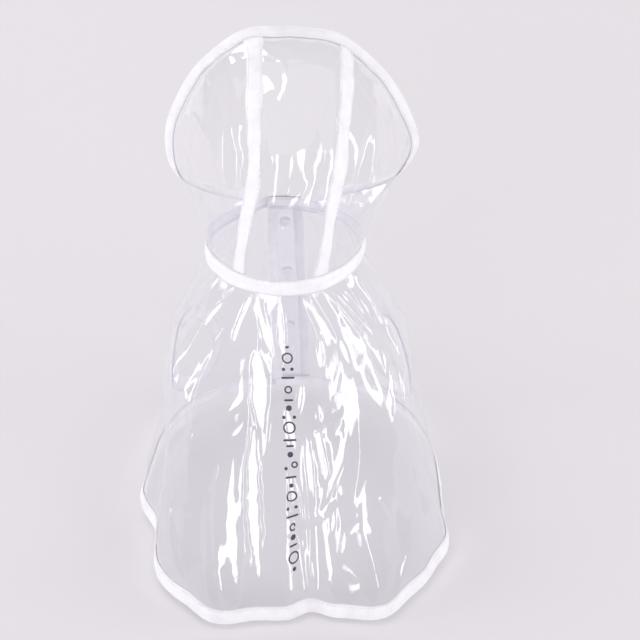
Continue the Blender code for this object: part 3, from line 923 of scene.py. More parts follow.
@dataclass
class NeckForm(ClothForm):
    """The neck seam. a is the turn from the mid back, b the distance above the seam."""

    body: BodyForm
    hood: HoodForm
    reach: float = 0.0030     # how softly the tape bends over the seam
    samples: int = 5
    out: float = -1.0
    creases: tuple[Crease, ...] = ()
    crumple: Crumple = Crumple((0.012, 0.012, 0.020), 0.0004, (0.012, 0.012, 0.02), 0.0005)

    def base(self, a: Array, b: Array) -> Array:
        """Find points of the seam's surface, rounded where the two sides meet.

        Args:
            a: Turns from the mid back.
            b: Distances above the seam.

        Returns:
            The points, one row each.
        """
        a, b = together(a, b)
        shifts = np.linspace(-1.0, 1.0, self.samples) * self.reach
        return sum(self.corner(a, b + shift) for shift in shifts) / len(shifts)

    def corner(self, a: Array, b: Array) -> Array:
        """Find points of the seam's surface, with the sharp bend at the seam.

        Args:
            a: Turns from the mid back.
            b: Distances above the seam.

        Returns:
            The points, one row each.
        """
        zero = np.zeros(len(a))
        below = self.body.base(a, np.maximum(-b, 0) / self.body.size_b(a, zero))
        across = np.clip(a / self.hood.span, -1.0, 1.0)
        above = self.hood.base(across, np.maximum(b, 0) / self.hood.size_b(across, zero))
        straight = self.body.base(a, zero) + np.stack((zero, zero, np.maximum(b, 0)), 1)
        above = np.where((np.abs(a) > self.hood.span)[:, None], straight, above)
        return np.where((b < 0)[:, None], below, above)

    def calm(self, a: Array, b: Array) -> Array:
        """The neck tape is crumpled evenly."""
        return np.ones(len(a))


# ---- finishes
class Graph:
    """The node tree of a new material, emptied down to its output."""

    def __init__(self, name: str) -> None:
        """Start a material.

        Args:
            name: The material's name.
        """
        self.material = bpy.data.materials.new(name)
        self.material.use_nodes = True
        self.tree = self.material.node_tree
        self.tree.nodes.clear()
        self.output = self.add("ShaderNodeOutputMaterial")

    def add(self, kind: str, links: dict[str | int, Source] | None = None,
            values: dict[str | int, object] | None = None, **settings: object,
            ) -> bpy.types.Node:
        """Add a node.

        Args:
            kind: The node's type.
            links: What feeds its inputs, by the input's name or number.
            values: Plain values of its inputs, by name or number.
            **settings: The node's own properties.

        Returns:
            The node.
        """
        node = self.tree.nodes.new(kind)
        for key, value in settings.items():
            setattr(node, key, value)
        for key, value in (values or {}).items():
            node.inputs[key].default_value = value
        for key, source in (links or {}).items():
            self.join(source, node.inputs[key])
        return node

    def join(self, source: Source, socket: bpy.types.NodeSocket) -> None:
        """Feed an input.

        Args:
            source: An output socket, or a node for its first output.
            socket: The input.
        """
        if isinstance(source, bpy.types.Node):
            source = source.outputs[0]
        self.tree.links.new(source, socket)

    def done(self, surface: Source) -> bpy.types.Material:
        """Join a shader to the output and return the material."""
        self.join(surface, self.output.inputs["Surface"])
        return self.material


@dataclass(frozen=True)
class ClearFilm:
    """Clear PEVA rain film, calendered smooth: a sharp mirror-like skin over nothing else."""

    tint: str = "#FEFEFF"
    skin: str = "#FFFFFF"
    facing_share: float = 0.078   # how much each skin mirrors straight on
    grazing_share: float = 0.62   # and what is added to that along the film
    grazing_power: float = 4.0
    haze: float = 0.22            # how much of that share is milky and not mirrored
    roughness: float = 0.045
    ripple_mm: float = 9.0        # spacing of the slight orange peel left by the rollers

    def build(self) -> bpy.types.Material:
        """Make the film: what is behind shows through, under a thin mirror.

        Returns:
            The material.
        """
        g = Graph("peva_film_calendered")
        place = g.add("ShaderNodeTexCoord").outputs["UV"]
        stretch = g.add("ShaderNodeMapping", {"Vector": place}, {"Scale": (1.0, 0.35, 1.0)})
        peel = g.add("ShaderNodeTexNoise", {"Vector": stretch},
                     {"Scale": 1000 / self.ripple_mm, "Detail": 2.0, "Roughness": 0.45})
        bump = g.add("ShaderNodeBump", {"Height": peel},
                     {"Strength": 0.55, "Distance": 0.0005})
        facing = g.add("ShaderNodeLayerWeight", {"Normal": bump},
                       {"Blend": 0.5}).outputs["Facing"]
        rise = g.add("ShaderNodeMath", {0: facing}, {1: self.grazing_power},
                     operation="POWER")
        share = g.add("ShaderNodeMath", {0: rise},
                      {1: self.grazing_share, 2: self.facing_share}, operation="MULTIPLY_ADD")
        skin = g.add("ShaderNodeBsdfPrincipled", {"Normal": bump},
                     {"Base Color": linear(self.skin), "Metallic": 1.0 - self.haze,
                      "Roughness": self.roughness})
        through = g.add("ShaderNodeBsdfTransparent", None, {"Color": linear(self.tint)})
        return g.done(g.add("ShaderNodeMixShader", {0: share, 1: through, 2: skin}))


@dataclass(frozen=True)
class BiasTape:
    """Woven polyester bias tape, pressed flat: matt white with slanting ribs and a soft nap."""

    light: str = "#FCFCFD"
    # the darker tone: painted shade of the tape's gathers, scattered at random with handling
    # smudges
    shade: str = "#DFDCE4"
    rib_mm: float = 1.4          # real ribs are 0.4 mm; drawn coarser so that they show
    roughness: float = 0.62
    see_through: float = 0.3     # thin cloth lets some light through

    def build(self) -> bpy.types.Material:
        """Make the tape's cloth, its ribs along its own map, with darker patches at random:
        handling smudges, and painted shade for the grey of its gathers.

        Returns:
            The material.
        """
        g = Graph("polyester_bias_tape_white")
        place = g.add("ShaderNodeTexCoord").outputs["UV"]
        turned = g.add("ShaderNodeMapping", {"Vector": place},
                       {"Rotation": (0.0, 0.0, math.radians(45))})
        ribs = g.add("ShaderNodeTexWave", {"Vector": turned},
                     {"Scale": 1000 / self.rib_mm / BANDS_A_METRE, "Distortion": 0.4,
                      "Detail": 1.0, "Detail Scale": 3.0}, wave_type="BANDS")
        # darker patches at random: handling smudges, and painted shade for the grey of the tape's
        # gathers
        marks_and_shade = g.add("ShaderNodeTexNoise", {"Vector": place},
                      {"Scale": 70.0, "Detail": 3.0, "Roughness": 0.6})
        colour = g.add("ShaderNodeMix", {"Factor": marks_and_shade},
                       {"A": linear(self.light), "B": linear(self.shade)}, data_type="RGBA")
        return self.finish(g, ribs, marks_and_shade, colour)

    def finish(self, g: Graph, ribs: bpy.types.Node, marks_and_shade: bpy.types.Node,
               colour: bpy.types.Node) -> bpy.types.Material:
        """Join the patterns to the shader.

        Args:
            g: The material's graph.
            ribs: The rib pattern.
            marks_and_shade: The random darker patches, handling smudges and painted shade, whose
                noise also puckers the tape.
            colour: The mixed colour.

        Returns:
            The material.
        """
        pucker = g.add("ShaderNodeBump", {"Height": marks_and_shade},
                       {"Strength": 0.5, "Distance": 0.0012})
        weave = g.add("ShaderNodeBump", {"Height": ribs,
                                         "Normal": pucker},
                      {"Strength": 0.5, "Distance": 0.0002})
        shader = g.add("ShaderNodeBsdfPrincipled",
                       {"Base Color": colour.outputs[2], "Normal": weave},
                       {"Roughness": self.roughness, "Sheen Weight": 0.25,
                        "Sheen Roughness": 0.4, "IOR": 1.5,
                        "Subsurface Weight": self.see_through,
                        "Subsurface Radius": (1.0, 1.0, 1.0), "Subsurface Scale": 0.0015})
        return g.done(shader)


@dataclass(frozen=True)
class SewingThread:
    """Spun polyester thread: off-white, with the twist of its two plies."""

    light: str = "#EFECF2"
    # the darker tone: painted shade in the grooves between the plies
    shade: str = "#C9C4D0"
    twist_mm: float = 1.0        # real plies turn every 0.5 mm; drawn coarser to show
    roughness: float = 0.55

    def build(self) -> bpy.types.Material:
        """Make the thread, with bands of painted shade along the grooves between its plies.

        Returns:
            The material.
        """
        g = Graph("spun_polyester_thread")
        place = g.add("ShaderNodeTexCoord").outputs["Object"]
        # bands of painted shade that follow the twist of the plies
        plies = g.add("ShaderNodeTexWave", {"Vector": place},
                      {"Scale": 1000 / self.twist_mm / BANDS_A_METRE, "Distortion": 0.5},
                      wave_type="BANDS", bands_direction="DIAGONAL")
        colour = g.add("ShaderNodeMix", {"Factor": plies},
                       {"A": linear(self.light), "B": linear(self.shade)}, data_type="RGBA")
        shader = g.add("ShaderNodeBsdfPrincipled", {"Base Color": colour.outputs[2]},
                       {"Roughness": self.roughness, "Sheen Weight": 0.2, "IOR": 1.5})
        return g.done(shader)


@dataclass(frozen=True)
class StudPlastic:
    """Injection-moulded acetal press stud: white, waxy, with a slight moulding texture."""

    light: str = "#F6F5F7"
    shade: str = "#E9E7EC"
    grain_mm: float = 0.6
    roughness: float = 0.32

    def build(self) -> bpy.types.Material:
        """Make the plastic, with a fine moulding grain.

        Returns:
            The material.
        """
        g = Graph("acetal_moulded_white")
        place = g.add("ShaderNodeTexCoord").outputs["Object"]
        grain = g.add("ShaderNodeTexNoise", {"Vector": place},
                      {"Scale": 1000 / self.grain_mm, "Detail": 2.0})
        colour = g.add("ShaderNodeMix", {"Factor": grain},
                       {"A": linear(self.light), "B": linear(self.shade)}, data_type="RGBA")
        bump = g.add("ShaderNodeBump", {"Height": grain},
                     {"Strength": 0.15, "Distance": 0.0001})
        shader = g.add("ShaderNodeBsdfPrincipled",
                       {"Base Color": colour.outputs[2], "Normal": bump},
                       {"Roughness": self.roughness, "IOR": 1.48,
                        "Subsurface Weight": 0.1, "Subsurface Scale": 0.001})
        return g.done(shader)


@dataclass(frozen=True)
class PrintInk:
    """Screen-printed vinyl ink: dark violet grey, slightly glossy and thin in places."""

    dark: str = "#3B3444"
    thin: str = "#5A5164"
    mesh_mm: float = 0.9
    roughness: float = 0.38

    def build(self) -> bpy.types.Material:
        """Make the ink, thinner here and there.

        Returns:
            The material.
        """
        g = Graph("screen_print_vinyl_ink")
        place = g.add("ShaderNodeTexCoord").outputs["Object"]
        cover = g.add("ShaderNodeTexNoise", {"Vector": place},
                      {"Scale": 1000 / self.mesh_mm, "Detail": 3.0, "Roughness": 0.7})
        sharp = g.add("ShaderNodeMapRange", {"Value": cover},
                      {"From Min": 0.45, "From Max": 0.7})
        colour = g.add("ShaderNodeMix", {"Factor": sharp},
                       {"A": linear(self.dark), "B": linear(self.thin)}, data_type="RGBA")
        shader = g.add("ShaderNodeBsdfPrincipled", {"Base Color": colour.outputs[2]},
                       {"Roughness": self.roughness, "IOR": 1.5})
        return g.done(shader)


@dataclass(frozen=True)
class StudioPaper:
    """Matt seamless paper of the studio floor: pale, a little lavender."""

    colour: str = "#DFDCDF"
    roughness: float = 0.9

    def build(self) -> bpy.types.Material:
        """Make the paper.

        Returns:
            The material.
        """
        g = Graph("studio_paper_pale")
        shader = g.add("ShaderNodeBsdfPrincipled", None,
                       {"Base Color": linear(self.colour), "Roughness": self.roughness,
                        "Specular IOR Level": 0.1})
        return g.done(shader)


@dataclass
class Finishes:
    """Every material of the cape, made once."""

    film: bpy.types.Material = field(default_factory=lambda: ClearFilm().build())
    tape: bpy.types.Material = field(default_factory=lambda: BiasTape().build())
    thread: bpy.types.Material = field(default_factory=lambda: SewingThread().build())
    stud: bpy.types.Material = field(default_factory=lambda: StudPlastic().build())
    ink: bpy.types.Material = field(default_factory=lambda: PrintInk().build())


class Slot(Enum):
    """Names of the cape's material slots."""

    FILM = "clear_film"
    TAPE = "white_tape"
    PLASTIC = "snap_plastic"


# ---- making pieces
def place_object(name: str, data: bpy.types.ID) -> bpy.types.Object:
    """Add an object to the scene.

    Args:
        name: Its name.
        data: Its mesh, lamp or camera.

    Returns:
        The object, at the origin.
    """
    thing = bpy.data.objects.new(name, data)
    bpy.context.scene.collection.objects.link(thing)
    return thing


def mesh_object(name: str, bm: bmesh.types.BMesh, material: bpy.types.Material,
                ) -> bpy.types.Object:
    """Add an object of one mesh and one material.

    Args:
        name: Its name.
        bm: Its mesh, in place; it is freed.
        material: Its material.

    Returns:
        The object.
    """
    mesh = bpy.data.meshes.new(name)
    bm.to_mesh(mesh)
    bm.free()
    mesh.materials.append(material)
    return place_object(name, mesh)


def finish_piece(name: str, bm: bmesh.types.BMesh, material: bpy.types.Material,
                 nodes: Sequence[str] = ()) -> bpy.types.Object:
    """Turn a finished bmesh into a piece of the cape.

    Args:
        name: The piece's name.
        bm: Its mesh, in place; it is freed.
        material: Its material.
        nodes: The solids that it stands for.

    Returns:
        The piece, riding on the cape's one body.
    """
    piece = mesh_object(name, bm, material)
    piece.data.shade_smooth()
    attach(piece, "root")
    if nodes:
        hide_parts(*nodes)
    LOG.info("%s: %d faces", name, len(piece.data.polygons))
    return piece


def thicken(piece: bpy.types.Object, thickness: float) -> None:
    """Give a sheet its wall, half to each side."""
    wall = piece.modifiers.new("wall", "SOLIDIFY")
    wall.thickness, wall.offset, wall.use_even_offset = thickness, 0.0, True


def flat_places(bm: bmesh.types.BMesh) -> Array:
    """The first two coordinates of every point."""
    return np.array([v.co[:2] for v in bm.verts])


def move(bm: bmesh.types.BMesh, points: Array) -> None:
    """Move every point of a mesh."""
    for vert, point in zip(bm.verts, points):
        vert.co = point


def mapped_grid(columns: int, rows: int, place: Callable[[Array, Array], Array],
                map_size: tuple[float, float], closed: bool = False) -> bmesh.types.BMesh:
    """Lay a grid on a surface.

    Args:
        columns: Faces across.
        rows: Faces up.
        place: Gives points from shares (0 to 1) across and up.
        map_size: The grid's flat size in metres, for its texture map.
        closed: True if the last column meets the first.

    Returns:
        The grid, its faces looking along the cross product of across and up.
    """
    bm = bmesh.new()
    bmesh.ops.create_grid(bm, x_segments=columns, y_segments=rows, size=0.5)
    flat = flat_places(bm) + 0.5
    layer = bm.loops.layers.uv.new("flat")
    for face in bm.faces:
        for loop in face.loops:
            u, v = flat[loop.vert.index]
            loop[layer].uv = (u * map_size[0], v * map_size[1])
    move(bm, place(flat[:, 0], flat[:, 1]))
    if closed:
        bmesh.ops.remove_doubles(bm, verts=bm.verts, dist=MERGE)
    return bm


def repeated(pattern: bmesh.types.BMesh, places: Sequence[Matrix]) -> bmesh.types.BMesh:
    """Join many copies of a small mesh.

    Args:
        pattern: The small mesh; it is freed.
        places: The turn, size and place of each copy.

    Returns:
        One mesh of all the copies.
    """
    single = bpy.data.meshes.new("single")
    pattern.to_mesh(single)
    pattern.free()
    bm = bmesh.new()
    for place in places:
        copy = single.copy()
        copy.transform(place)
        bm.from_mesh(copy)
        bpy.data.meshes.remove(copy)
    bpy.data.meshes.remove(single)
    return bm


def face_outwards(bm: bmesh.types.BMesh, outward: Callable[[Vector], Vector]) -> None:
    """Turn an open sheet over if its first face looks in.

    Args:
        bm: The sheet.
        outward: Gives the outward direction near a point.
    """
    bm.normal_update()
    bm.faces.ensure_lookup_table()
    face = bm.faces[len(bm.faces) // 2]
    if face.normal.dot(outward(face.calc_center_median())) < 0:
        bmesh.ops.reverse_faces(bm, faces=bm.faces)


# ---- film panels
@dataclass
class BodyPanel:
    """The cape body: one film panel from front edge to front edge, with two leg holes."""

    form: BodyForm
    finishes: Finishes
    film: float = 0.00035
    columns: int = 370
    rows: int = 128
    crowding: float = 0.34        # how much closer the columns lie on the back
    cut: tuple[float, float] = (0.700, 0.300)
    cut_area: float = 0.152
    middle_y: float = 0.03        # roughly the axis of the body's hollow
    cut_share: float = 0.985      # the faces are cut away a little inside a leg hole's rim,
    rim_share: float = 1.3        # and open edges nearer than this are drawn onto the rim

    def build(self) -> None:
        """Make the panel and cut its leg holes."""
        bm = mapped_grid(self.columns, self.rows, lambda u, v: np.stack((u, v, 0 * u), 1),
                         self.cut)
        across, b = flat_places(bm).T
        share = across * 2 - 1
        a = share * (1 - self.crowding * (1 - share**2)) * self.form.end(b)
        for side in Side:
            a, b = self.cut_leg_hole(bm, side, a, b)
        move(bm, self.form.cloth(a, b))
        face_outwards(bm, lambda p: Vector((p.x, p.y - self.middle_y, 0.0)))
        piece = finish_piece("film_body", bm, self.finishes.film, ["body_panel"])
        thicken(piece, self.film)

    def cut_leg_hole(self, bm: bmesh.types.BMesh, side: Side, a: Array, b: Array,
                     ) -> tuple[Array, Array]:
        """Cut a leg hole and draw its ragged rim onto the true one.

        Args:
            bm: The flat panel.
            side: Which leg hole.
            a: Turns of its points.
            b: Downs of its points.

        Returns:
            Turns and downs of the points that are left.
        """
        share, angle = self.form.leg_share(side, a, b)
        inside = [v for v, s in zip(bm.verts, share) if s < self.cut_share]
        kept = share >= self.cut_share
        bmesh.ops.delete(bm, geom=inside, context="VERTS")
        a, b, share, angle = a[kept], b[kept], share[kept], angle[kept]
        rim = np.array([v.is_boundary for v in bm.verts]) & (share < self.rim_share)
        a[rim], b[rim] = self.form.leg_rim(side, angle[rim], 0.0)
        return a, b


class HoodPart(Enum):
    """The hood's three film panels: side, faces across, flat size and cut area."""

    CENTRE = (None, 44, (0.100, 0.215), 0.0162)
    LEFT = (Side.LEFT, 104, (0.225, 0.175), 0.0198)
    RIGHT = (Side.RIGHT, 104, (0.225, 0.175), 0.0198)

    def __init__(self, side: Side | None, columns: int, cut: tuple[float, float],
                 area: float) -> None:
        """Name what each value holds."""
        self.side, self.columns, self.cut, self.area = side, columns, cut, area


@dataclass
class HoodPanel:
    """One film panel of the hood, between its seams or from a seam to the front corner."""

    form: HoodForm
    finishes: Finishes
    part: HoodPart
    film: float = 0.00035
    seam_gap: float = 0.0002
    rows: int = 96
    middle_y: float = -0.05       # roughly the axis of the hood's hollow

    def build(self) -> None:
        """Make the panel."""
        part = self.part
        bm = mapped_grid(part.columns, self.rows, self.place, part.cut)
        face_outwards(bm, lambda p: Vector((p.x, p.y - self.middle_y, p.z)))
        name = part.name.lower()
        node = f"hood_{name}_panel" if part is HoodPart.CENTRE else f"hood_side_{name}"
        piece = finish_piece(f"film_hood_{name}", bm, self.finishes.film, [node])
        thicken(piece, self.film)

    def place(self, u: Array, v: Array) -> Array:
        """Find points of the creased panel.

        Args:
            u: Shares across.
            v: Shares up.

        Returns:
            The points, one row each.
        """
        if self.part is HoodPart.CENTRE:
            low = self.form.seam(Side.RIGHT, -self.seam_gap, v)[0]
            high = self.form.seam(Side.LEFT, -self.seam_gap, v)[0]
        else:
            low = self.form.seam(self.part.side, self.seam_gap, v)[0]
            high = np.full(len(v), float(self.part.side))
        return self.form.cloth(low + (high - low) * u, v)


# ---- tapes
@dataclass
class TapeRun:
    """Where a tape lies: its length, its cloth form and its way along it."""

    name: str
    node: str
    form: ClothForm
    place: Callable[[Array, Array], tuple[Array, Array]]
    length: float
    closed: bool = False


@dataclass
class Tape(ABC):
    """Woven tape that is sewn down along a run."""

    run: TapeRun
    finishes: Finishes
    width: float
    thickness: float
    uneven: float
    step: float = 0.0022        # length of its faces
    seed: float = 0.0

    @abstractmethod
    def surface(self, u: Array, v: Array) -> Array:
        """Points of the tape from shares along it and across its cloth."""

    def lay(self, rows: int, flat: tuple[float, float]) -> bpy.types.Object:
        """Lay the tape's cloth along its run.

        Args:
            rows: Faces across the cloth.
            flat: The cloth's length and width.

        Returns:
            The tape, not yet sewn.
        """
        columns = round(self.run.length / self.step)
        bm = mapped_grid(columns, rows, self.surface, flat, self.run.closed)
        piece = finish_piece(self.run.name, bm, self.finishes.tape,
                             [self.run.node])
        thicken(piece, self.thickness)
        return piece


@dataclass
class Binding(Tape):
    """Tape folded over a film edge and sewn down along its inner edges."""

    width: float = 0.0100
    thickness: float = 0.00055
    uneven: float = 0.0007
    slack: float = 0.00065      # half the distance between the two leaves
    puff: float = 0.00075       # how far the leaves bulge between stitching and fold
    puff_reach: float = 0.86    # share of a leaf that bulges
    puff_bluntness: float = 0.8
    puff_uneven: float = 0.45
    fold_depth: float = 1.3     # of the fold round the film's edge, in slacks
    fold_width: float = 0.0025  # cloth that the fold takes
    end_reach: float = 0.0045   # how long a stretch is drawn shut at an open end
    end_share: float = 0.3      # how far the leaves still stand apart at the very end
    stitch_inset: float = 0.0016
    stitch_rise: float = 0.0001
    stitch_margin: float = 0.003
    leaf: int = 7               # faces across a leaf, and round the fold
    turn: int = 5
    waves: Rows = ((9, 0.45), (23, 0.35), (51, 0.2))   # waves a metre, and their shares
    wave_shift: float = 2.3

    def section(self) -> tuple[Array, Array]:
        """Find the folded section.

        Returns:
            Distances in from the film's edge, and heights, from outer leaf to inner leaf.
        """
        s = np.linspace(1.0, 0.0, self.leaf + 1)
        bulge = self.puff * np.sin(math.pi * np.clip(s / self.puff_reach, 0, 1)
                                   ) ** self.puff_bluntness
        fold = np.linspace(math.pi / 2, -math.pi / 2, self.turn + 2)[1:-1]
        inset = np.concatenate((s * self.width, -self.slack * np.cos(fold) * self.fold_depth,
                                s[::-1] * self.width))
        height = np.concatenate((self.slack + bulge, self.slack * np.sin(fold),
                                 -(self.slack + bulge[::-1])))
        return inset, height

    def surface(self, u: Array, v: Array) -> Array:
        """Find points of the folded tape.

        Args:
            u: Shares along the tape.
            v: Shares across its cloth, from outer to inner.

        Returns:
            The points, one row each.
        """
        inset, height = self.section()
        at = v * (len(inset) - 1)
        inset = np.interp(at, np.arange(len(inset)), inset)
        height = np.interp(at, np.arange(len(height)), height)
        wander = self.wander(u)
        inset = inset + self.uneven * wander * np.clip(inset / self.width, 0, 1)
        puffed = np.clip(np.abs(height) - self.slack, 0, 1) / self.puff
        plump = 1.0 + self.puff_uneven * puffed * wander
        a, b = self.run.place(u, inset)
        return self.run.form.cloth(a, b, height * plump * self.opening(u))

    def opening(self, u: Array) -> Array:
        """Find how far the leaves stand apart: less near an end, sewn shut.

        Args:
            u: Shares along the tape.

        Returns:
            Shares of the full distance.
        """
        if self.run.closed:
            return np.ones(len(u))
        from_end = np.minimum(u, 1 - u) * self.run.length
        return self.end_share + (1 - self.end_share) * ease(from_end / self.end_reach)

    def wander(self, u: Array) -> Array:
        """Find the slow unevenness along the tape, the same at both ends.

        Args:
            u: Shares along the tape.

        Returns:
            Numbers from -1 to 1.
        """
        turn = 2 * math.pi * u
        total = np.zeros(len(u))
        for k, (a_metre, share) in enumerate(self.waves, 1):
            cycles = max(1, round(a_metre * self.run.length))
            total += share * np.sin(cycles * turn + self.seed * k * self.wave_shift)
        return total

    def build(self) -> None:
        """Make the binding and its stitching."""
        flat = (self.run.length, 2 * self.width + self.fold_width)
        piece = self.lay(2 * self.leaf + self.turn + 1, flat)
        rise = self.slack + self.thickness / 2 + self.stitch_rise
        seam = Stitching(f"{self.run.name}_stitches", self.run, self.finishes,
                         (self.width - self.stitch_inset,), rise, sides=(1, -1),
                         margin=0.0 if self.run.closed else self.stitch_margin).build()


@dataclass
class FlatTape(Tape):
    """Flat tape sewn over a seam along both its edges."""

    width: float = 0.0120
    thickness: float = 0.0006
    uneven: float = 0.0008
    rise: float = 0.00065       # how far the tape's middle surface lies outside the film's
    puff: float = 0.0004
    puff_uneven: float = 0.5
    gather: float = 0.0         # height of the small puckers that the sewing draws up
    stitch_inset: float = 0.0014
    stitch_rise: float = 0.0002
    strips: int = 10            # faces across it
    widths: Rows = ((0.0, 1.0), (1.0, 1.0))
    rests_on: tuple[str, ...] = ("film_body", "film_hood_centre")
    waves: Rows = ((0.6, 13, 1), (0.4, 31, 2))         # shares, waves a metre, seeds
    puckers: Rows = ((0.6, 0.0093), (0.4, 0.0061))     # shares and lengths
    pucker_drift: tuple[float, float] = (2.0, 9.0)

    def half(self, u: Array) -> Array:
        """Half the tape's width along its run."""
        return self.width / 2 * read_rows(self.widths, u)[:, 0]

    def surface(self, u: Array, v: Array) -> Array:
        """Find points of the flat tape.

        Args:
            u: Shares along the tape.
            v: Shares across it.

        Returns:
            The points, one row each.
        """
        turn = 2 * math.pi * u * self.run.length
        wander = sum(share * np.sin(a_metre * turn + seeds * self.seed)
                     for share, a_metre, seeds in self.waves)
        across = (2 * v - 1) * (self.half(u) + self.uneven * wander)
        a, b = self.run.place(u, across)
        (share_a, long_a), (share_b, long_b) = self.puckers
        drift = self.pucker_drift[0] * np.sin(self.pucker_drift[1] * turn)
        pucker = (share_a * np.sin(turn / long_a + drift)
                  + share_b * np.sin(turn / long_b + self.seed))
        lift = (self.rise
                + self.puff * (1 - (2 * v - 1) ** 4) * (1 + self.puff_uneven * wander)
                + self.gather * (1 - (2 * v - 1) ** 2) * pucker)
        return self.run.form.cloth(a, b, lift)

    def build(self) -> None:
        """Make the tape and its stitching."""
        flat = (self.run.length, self.width)
        piece = self.lay(self.strips, flat)
        edge = self.width / 2 - self.stitch_inset
        seam = Stitching(f"{self.run.name}_stitches", self.run, self.finishes,
                         (-edge, edge), self.rise + self.thickness / 2 + self.stitch_rise
                         ).build()


@dataclass
class Stitching:
    """Rows of lockstitch along a tape: a short twisted thread lies between each two holes."""

    name: str
    run: TapeRun
    finishes: Finishes
    lines: tuple[float, ...]
    height: float
    sides: tuple[int, ...] = (1,)   # the tape's outer side, and -1 for its inner side
    pitch: float = 0.0032
    thread: float = 0.00028         # radius
    drawn: float = 0.86             # share of the pitch that lies on top
    margin: float = 0.0             # bare stretch at each end of the run

    def build(self) -> bpy.types.Object:
        """Make every stitch of the tape as one joined mesh.

        Returns:
            The stitches, as one piece.
        """
        bare = self.margin / self.run.length
        sewn = 1 - 2 * bare
        count = max(2, round(self.run.length * sewn / self.pitch))
        u = bare + sewn * (np.arange(count) + 0.5) / count
        step = np.full(count, self.drawn / 2 * sewn / count)
        places = []
        for inset in self.lines:
            for side in self.sides:
                ends = [self.lay(u + step * sign, inset, side) for sign in (-1, 1)]
                places += [self.stretch(*pair) for pair in zip(*ends)]
        bm = bmesh.new()
        bmesh.ops.create_uvsphere(bm, u_segments=6, v_segments=5, radius=1.0)
        return finish_piece(self.name, repeated(bm, places), self.finishes.thread)

    def lay(self, u: Array, inset: float, side: int) -> Array:
        """Places of stitch ends along the run, on its outer (1) or inner (-1) side."""
        a, b = self.run.place(u, np.full(len(u), inset))
        return self.run.form.cloth(a, b, self.height * side)

    def stretch(self, start: Array, end: Array) -> Matrix:
        """Find how a ball of radius one becomes the thread between two holes.

        Args:
            start: Where the thread comes up.
            end: Where it goes down.

        Returns:
            The turn, size and place.
        """
        way = Vector(end - start)
        turned = way.to_track_quat("Z", "X").to_matrix().to_4x4()
        size = Matrix.Diagonal((self.thread, self.thread, way.length / 2, 1.0))
        return Matrix.Translation(Vector((start + end) / 2)) @ turned @ size


# ---- press studs
class StudHalf(Enum):
    """The two halves of a press stud: its side of the lap, its height and its profile."""

    CAP = (1, 0.0021, CAP_PROFILE)
    STUD = (-1, 0.0026, STUD_PROFILE)

    def __init__(self, side: int, height: float, profile: Rows) -> None:
        """Name what each value holds."""
        self.side, self.height, self.profile = side, height, profile


@dataclass
class PressStuds:
    """Three moulded press studs that hold the lapped front edges."""

    form: BodyForm
    finishes: Finishes
    downs: tuple[float, ...] = (0.12, 0.42, 0.72)
    radius: float = 0.0048
    base: float = 0.0005
    steps: int = 32

    def build(self) -> None:
        """Make every cap and stud."""
        for number, down in enumerate(self.downs, 1):
            for half in StudHalf:
                self.make(half, number, down)

    def make(self, half: StudHalf, number: int, down: float) -> None:
        """Turn one half and set it on the film.

        Args:
            half: Which half.
            number: Its number from the neck down.
            down: Its place down the front.
        """
        bm = bmesh.new()
        turned = [bm.verts.new((self.radius * across, 0.0, half.height * up))
                  for across, up in half.profile]
        edges = [bm.edges.new(pair) for pair in zip(turned, turned[1:])]
        bmesh.ops.spin(bm, geom=turned + edges, axis=(0, 0, 1), cent=(0, 0, 0), dvec=(0, 0, 0),
                       angle=2 * math.pi, steps=self.steps, use_merge=True)
        bmesh.ops.remove_doubles(bm, verts=bm.verts, dist=MERGE)
        bmesh.ops.holes_fill(bm, edges=[e for e in bm.edges if e.is_boundary], sides=0)
        bmesh.ops.recalc_face_normals(bm, faces=bm.faces)
        a, b = np.array([half.side * math.pi]), np.array([down])
        out = Vector(self.form.outward(a, b)[0])
        place = Matrix.Translation(Vector(self.form.cloth(a, b, self.base)[0]))
        bmesh.ops.transform(bm, matrix=place @ out.to_track_quat("Z", "X").to_matrix().to_4x4(),
                            verts=bm.verts)
        word = half.name.lower()
        piece = finish_piece(f"press_{word}_{number}", bm, self.finishes.stud,
                             [f"snap_{word}_{number}"])
        rounding = piece.modifiers.new("rounding", "SUBSURF")
        rounding.levels = rounding.render_levels = 1


# ---- print
class Motif(Enum):
    """The plain shapes of the print."""

    DOT = "dot"
    RING = "ring"
    BAR = "bar"


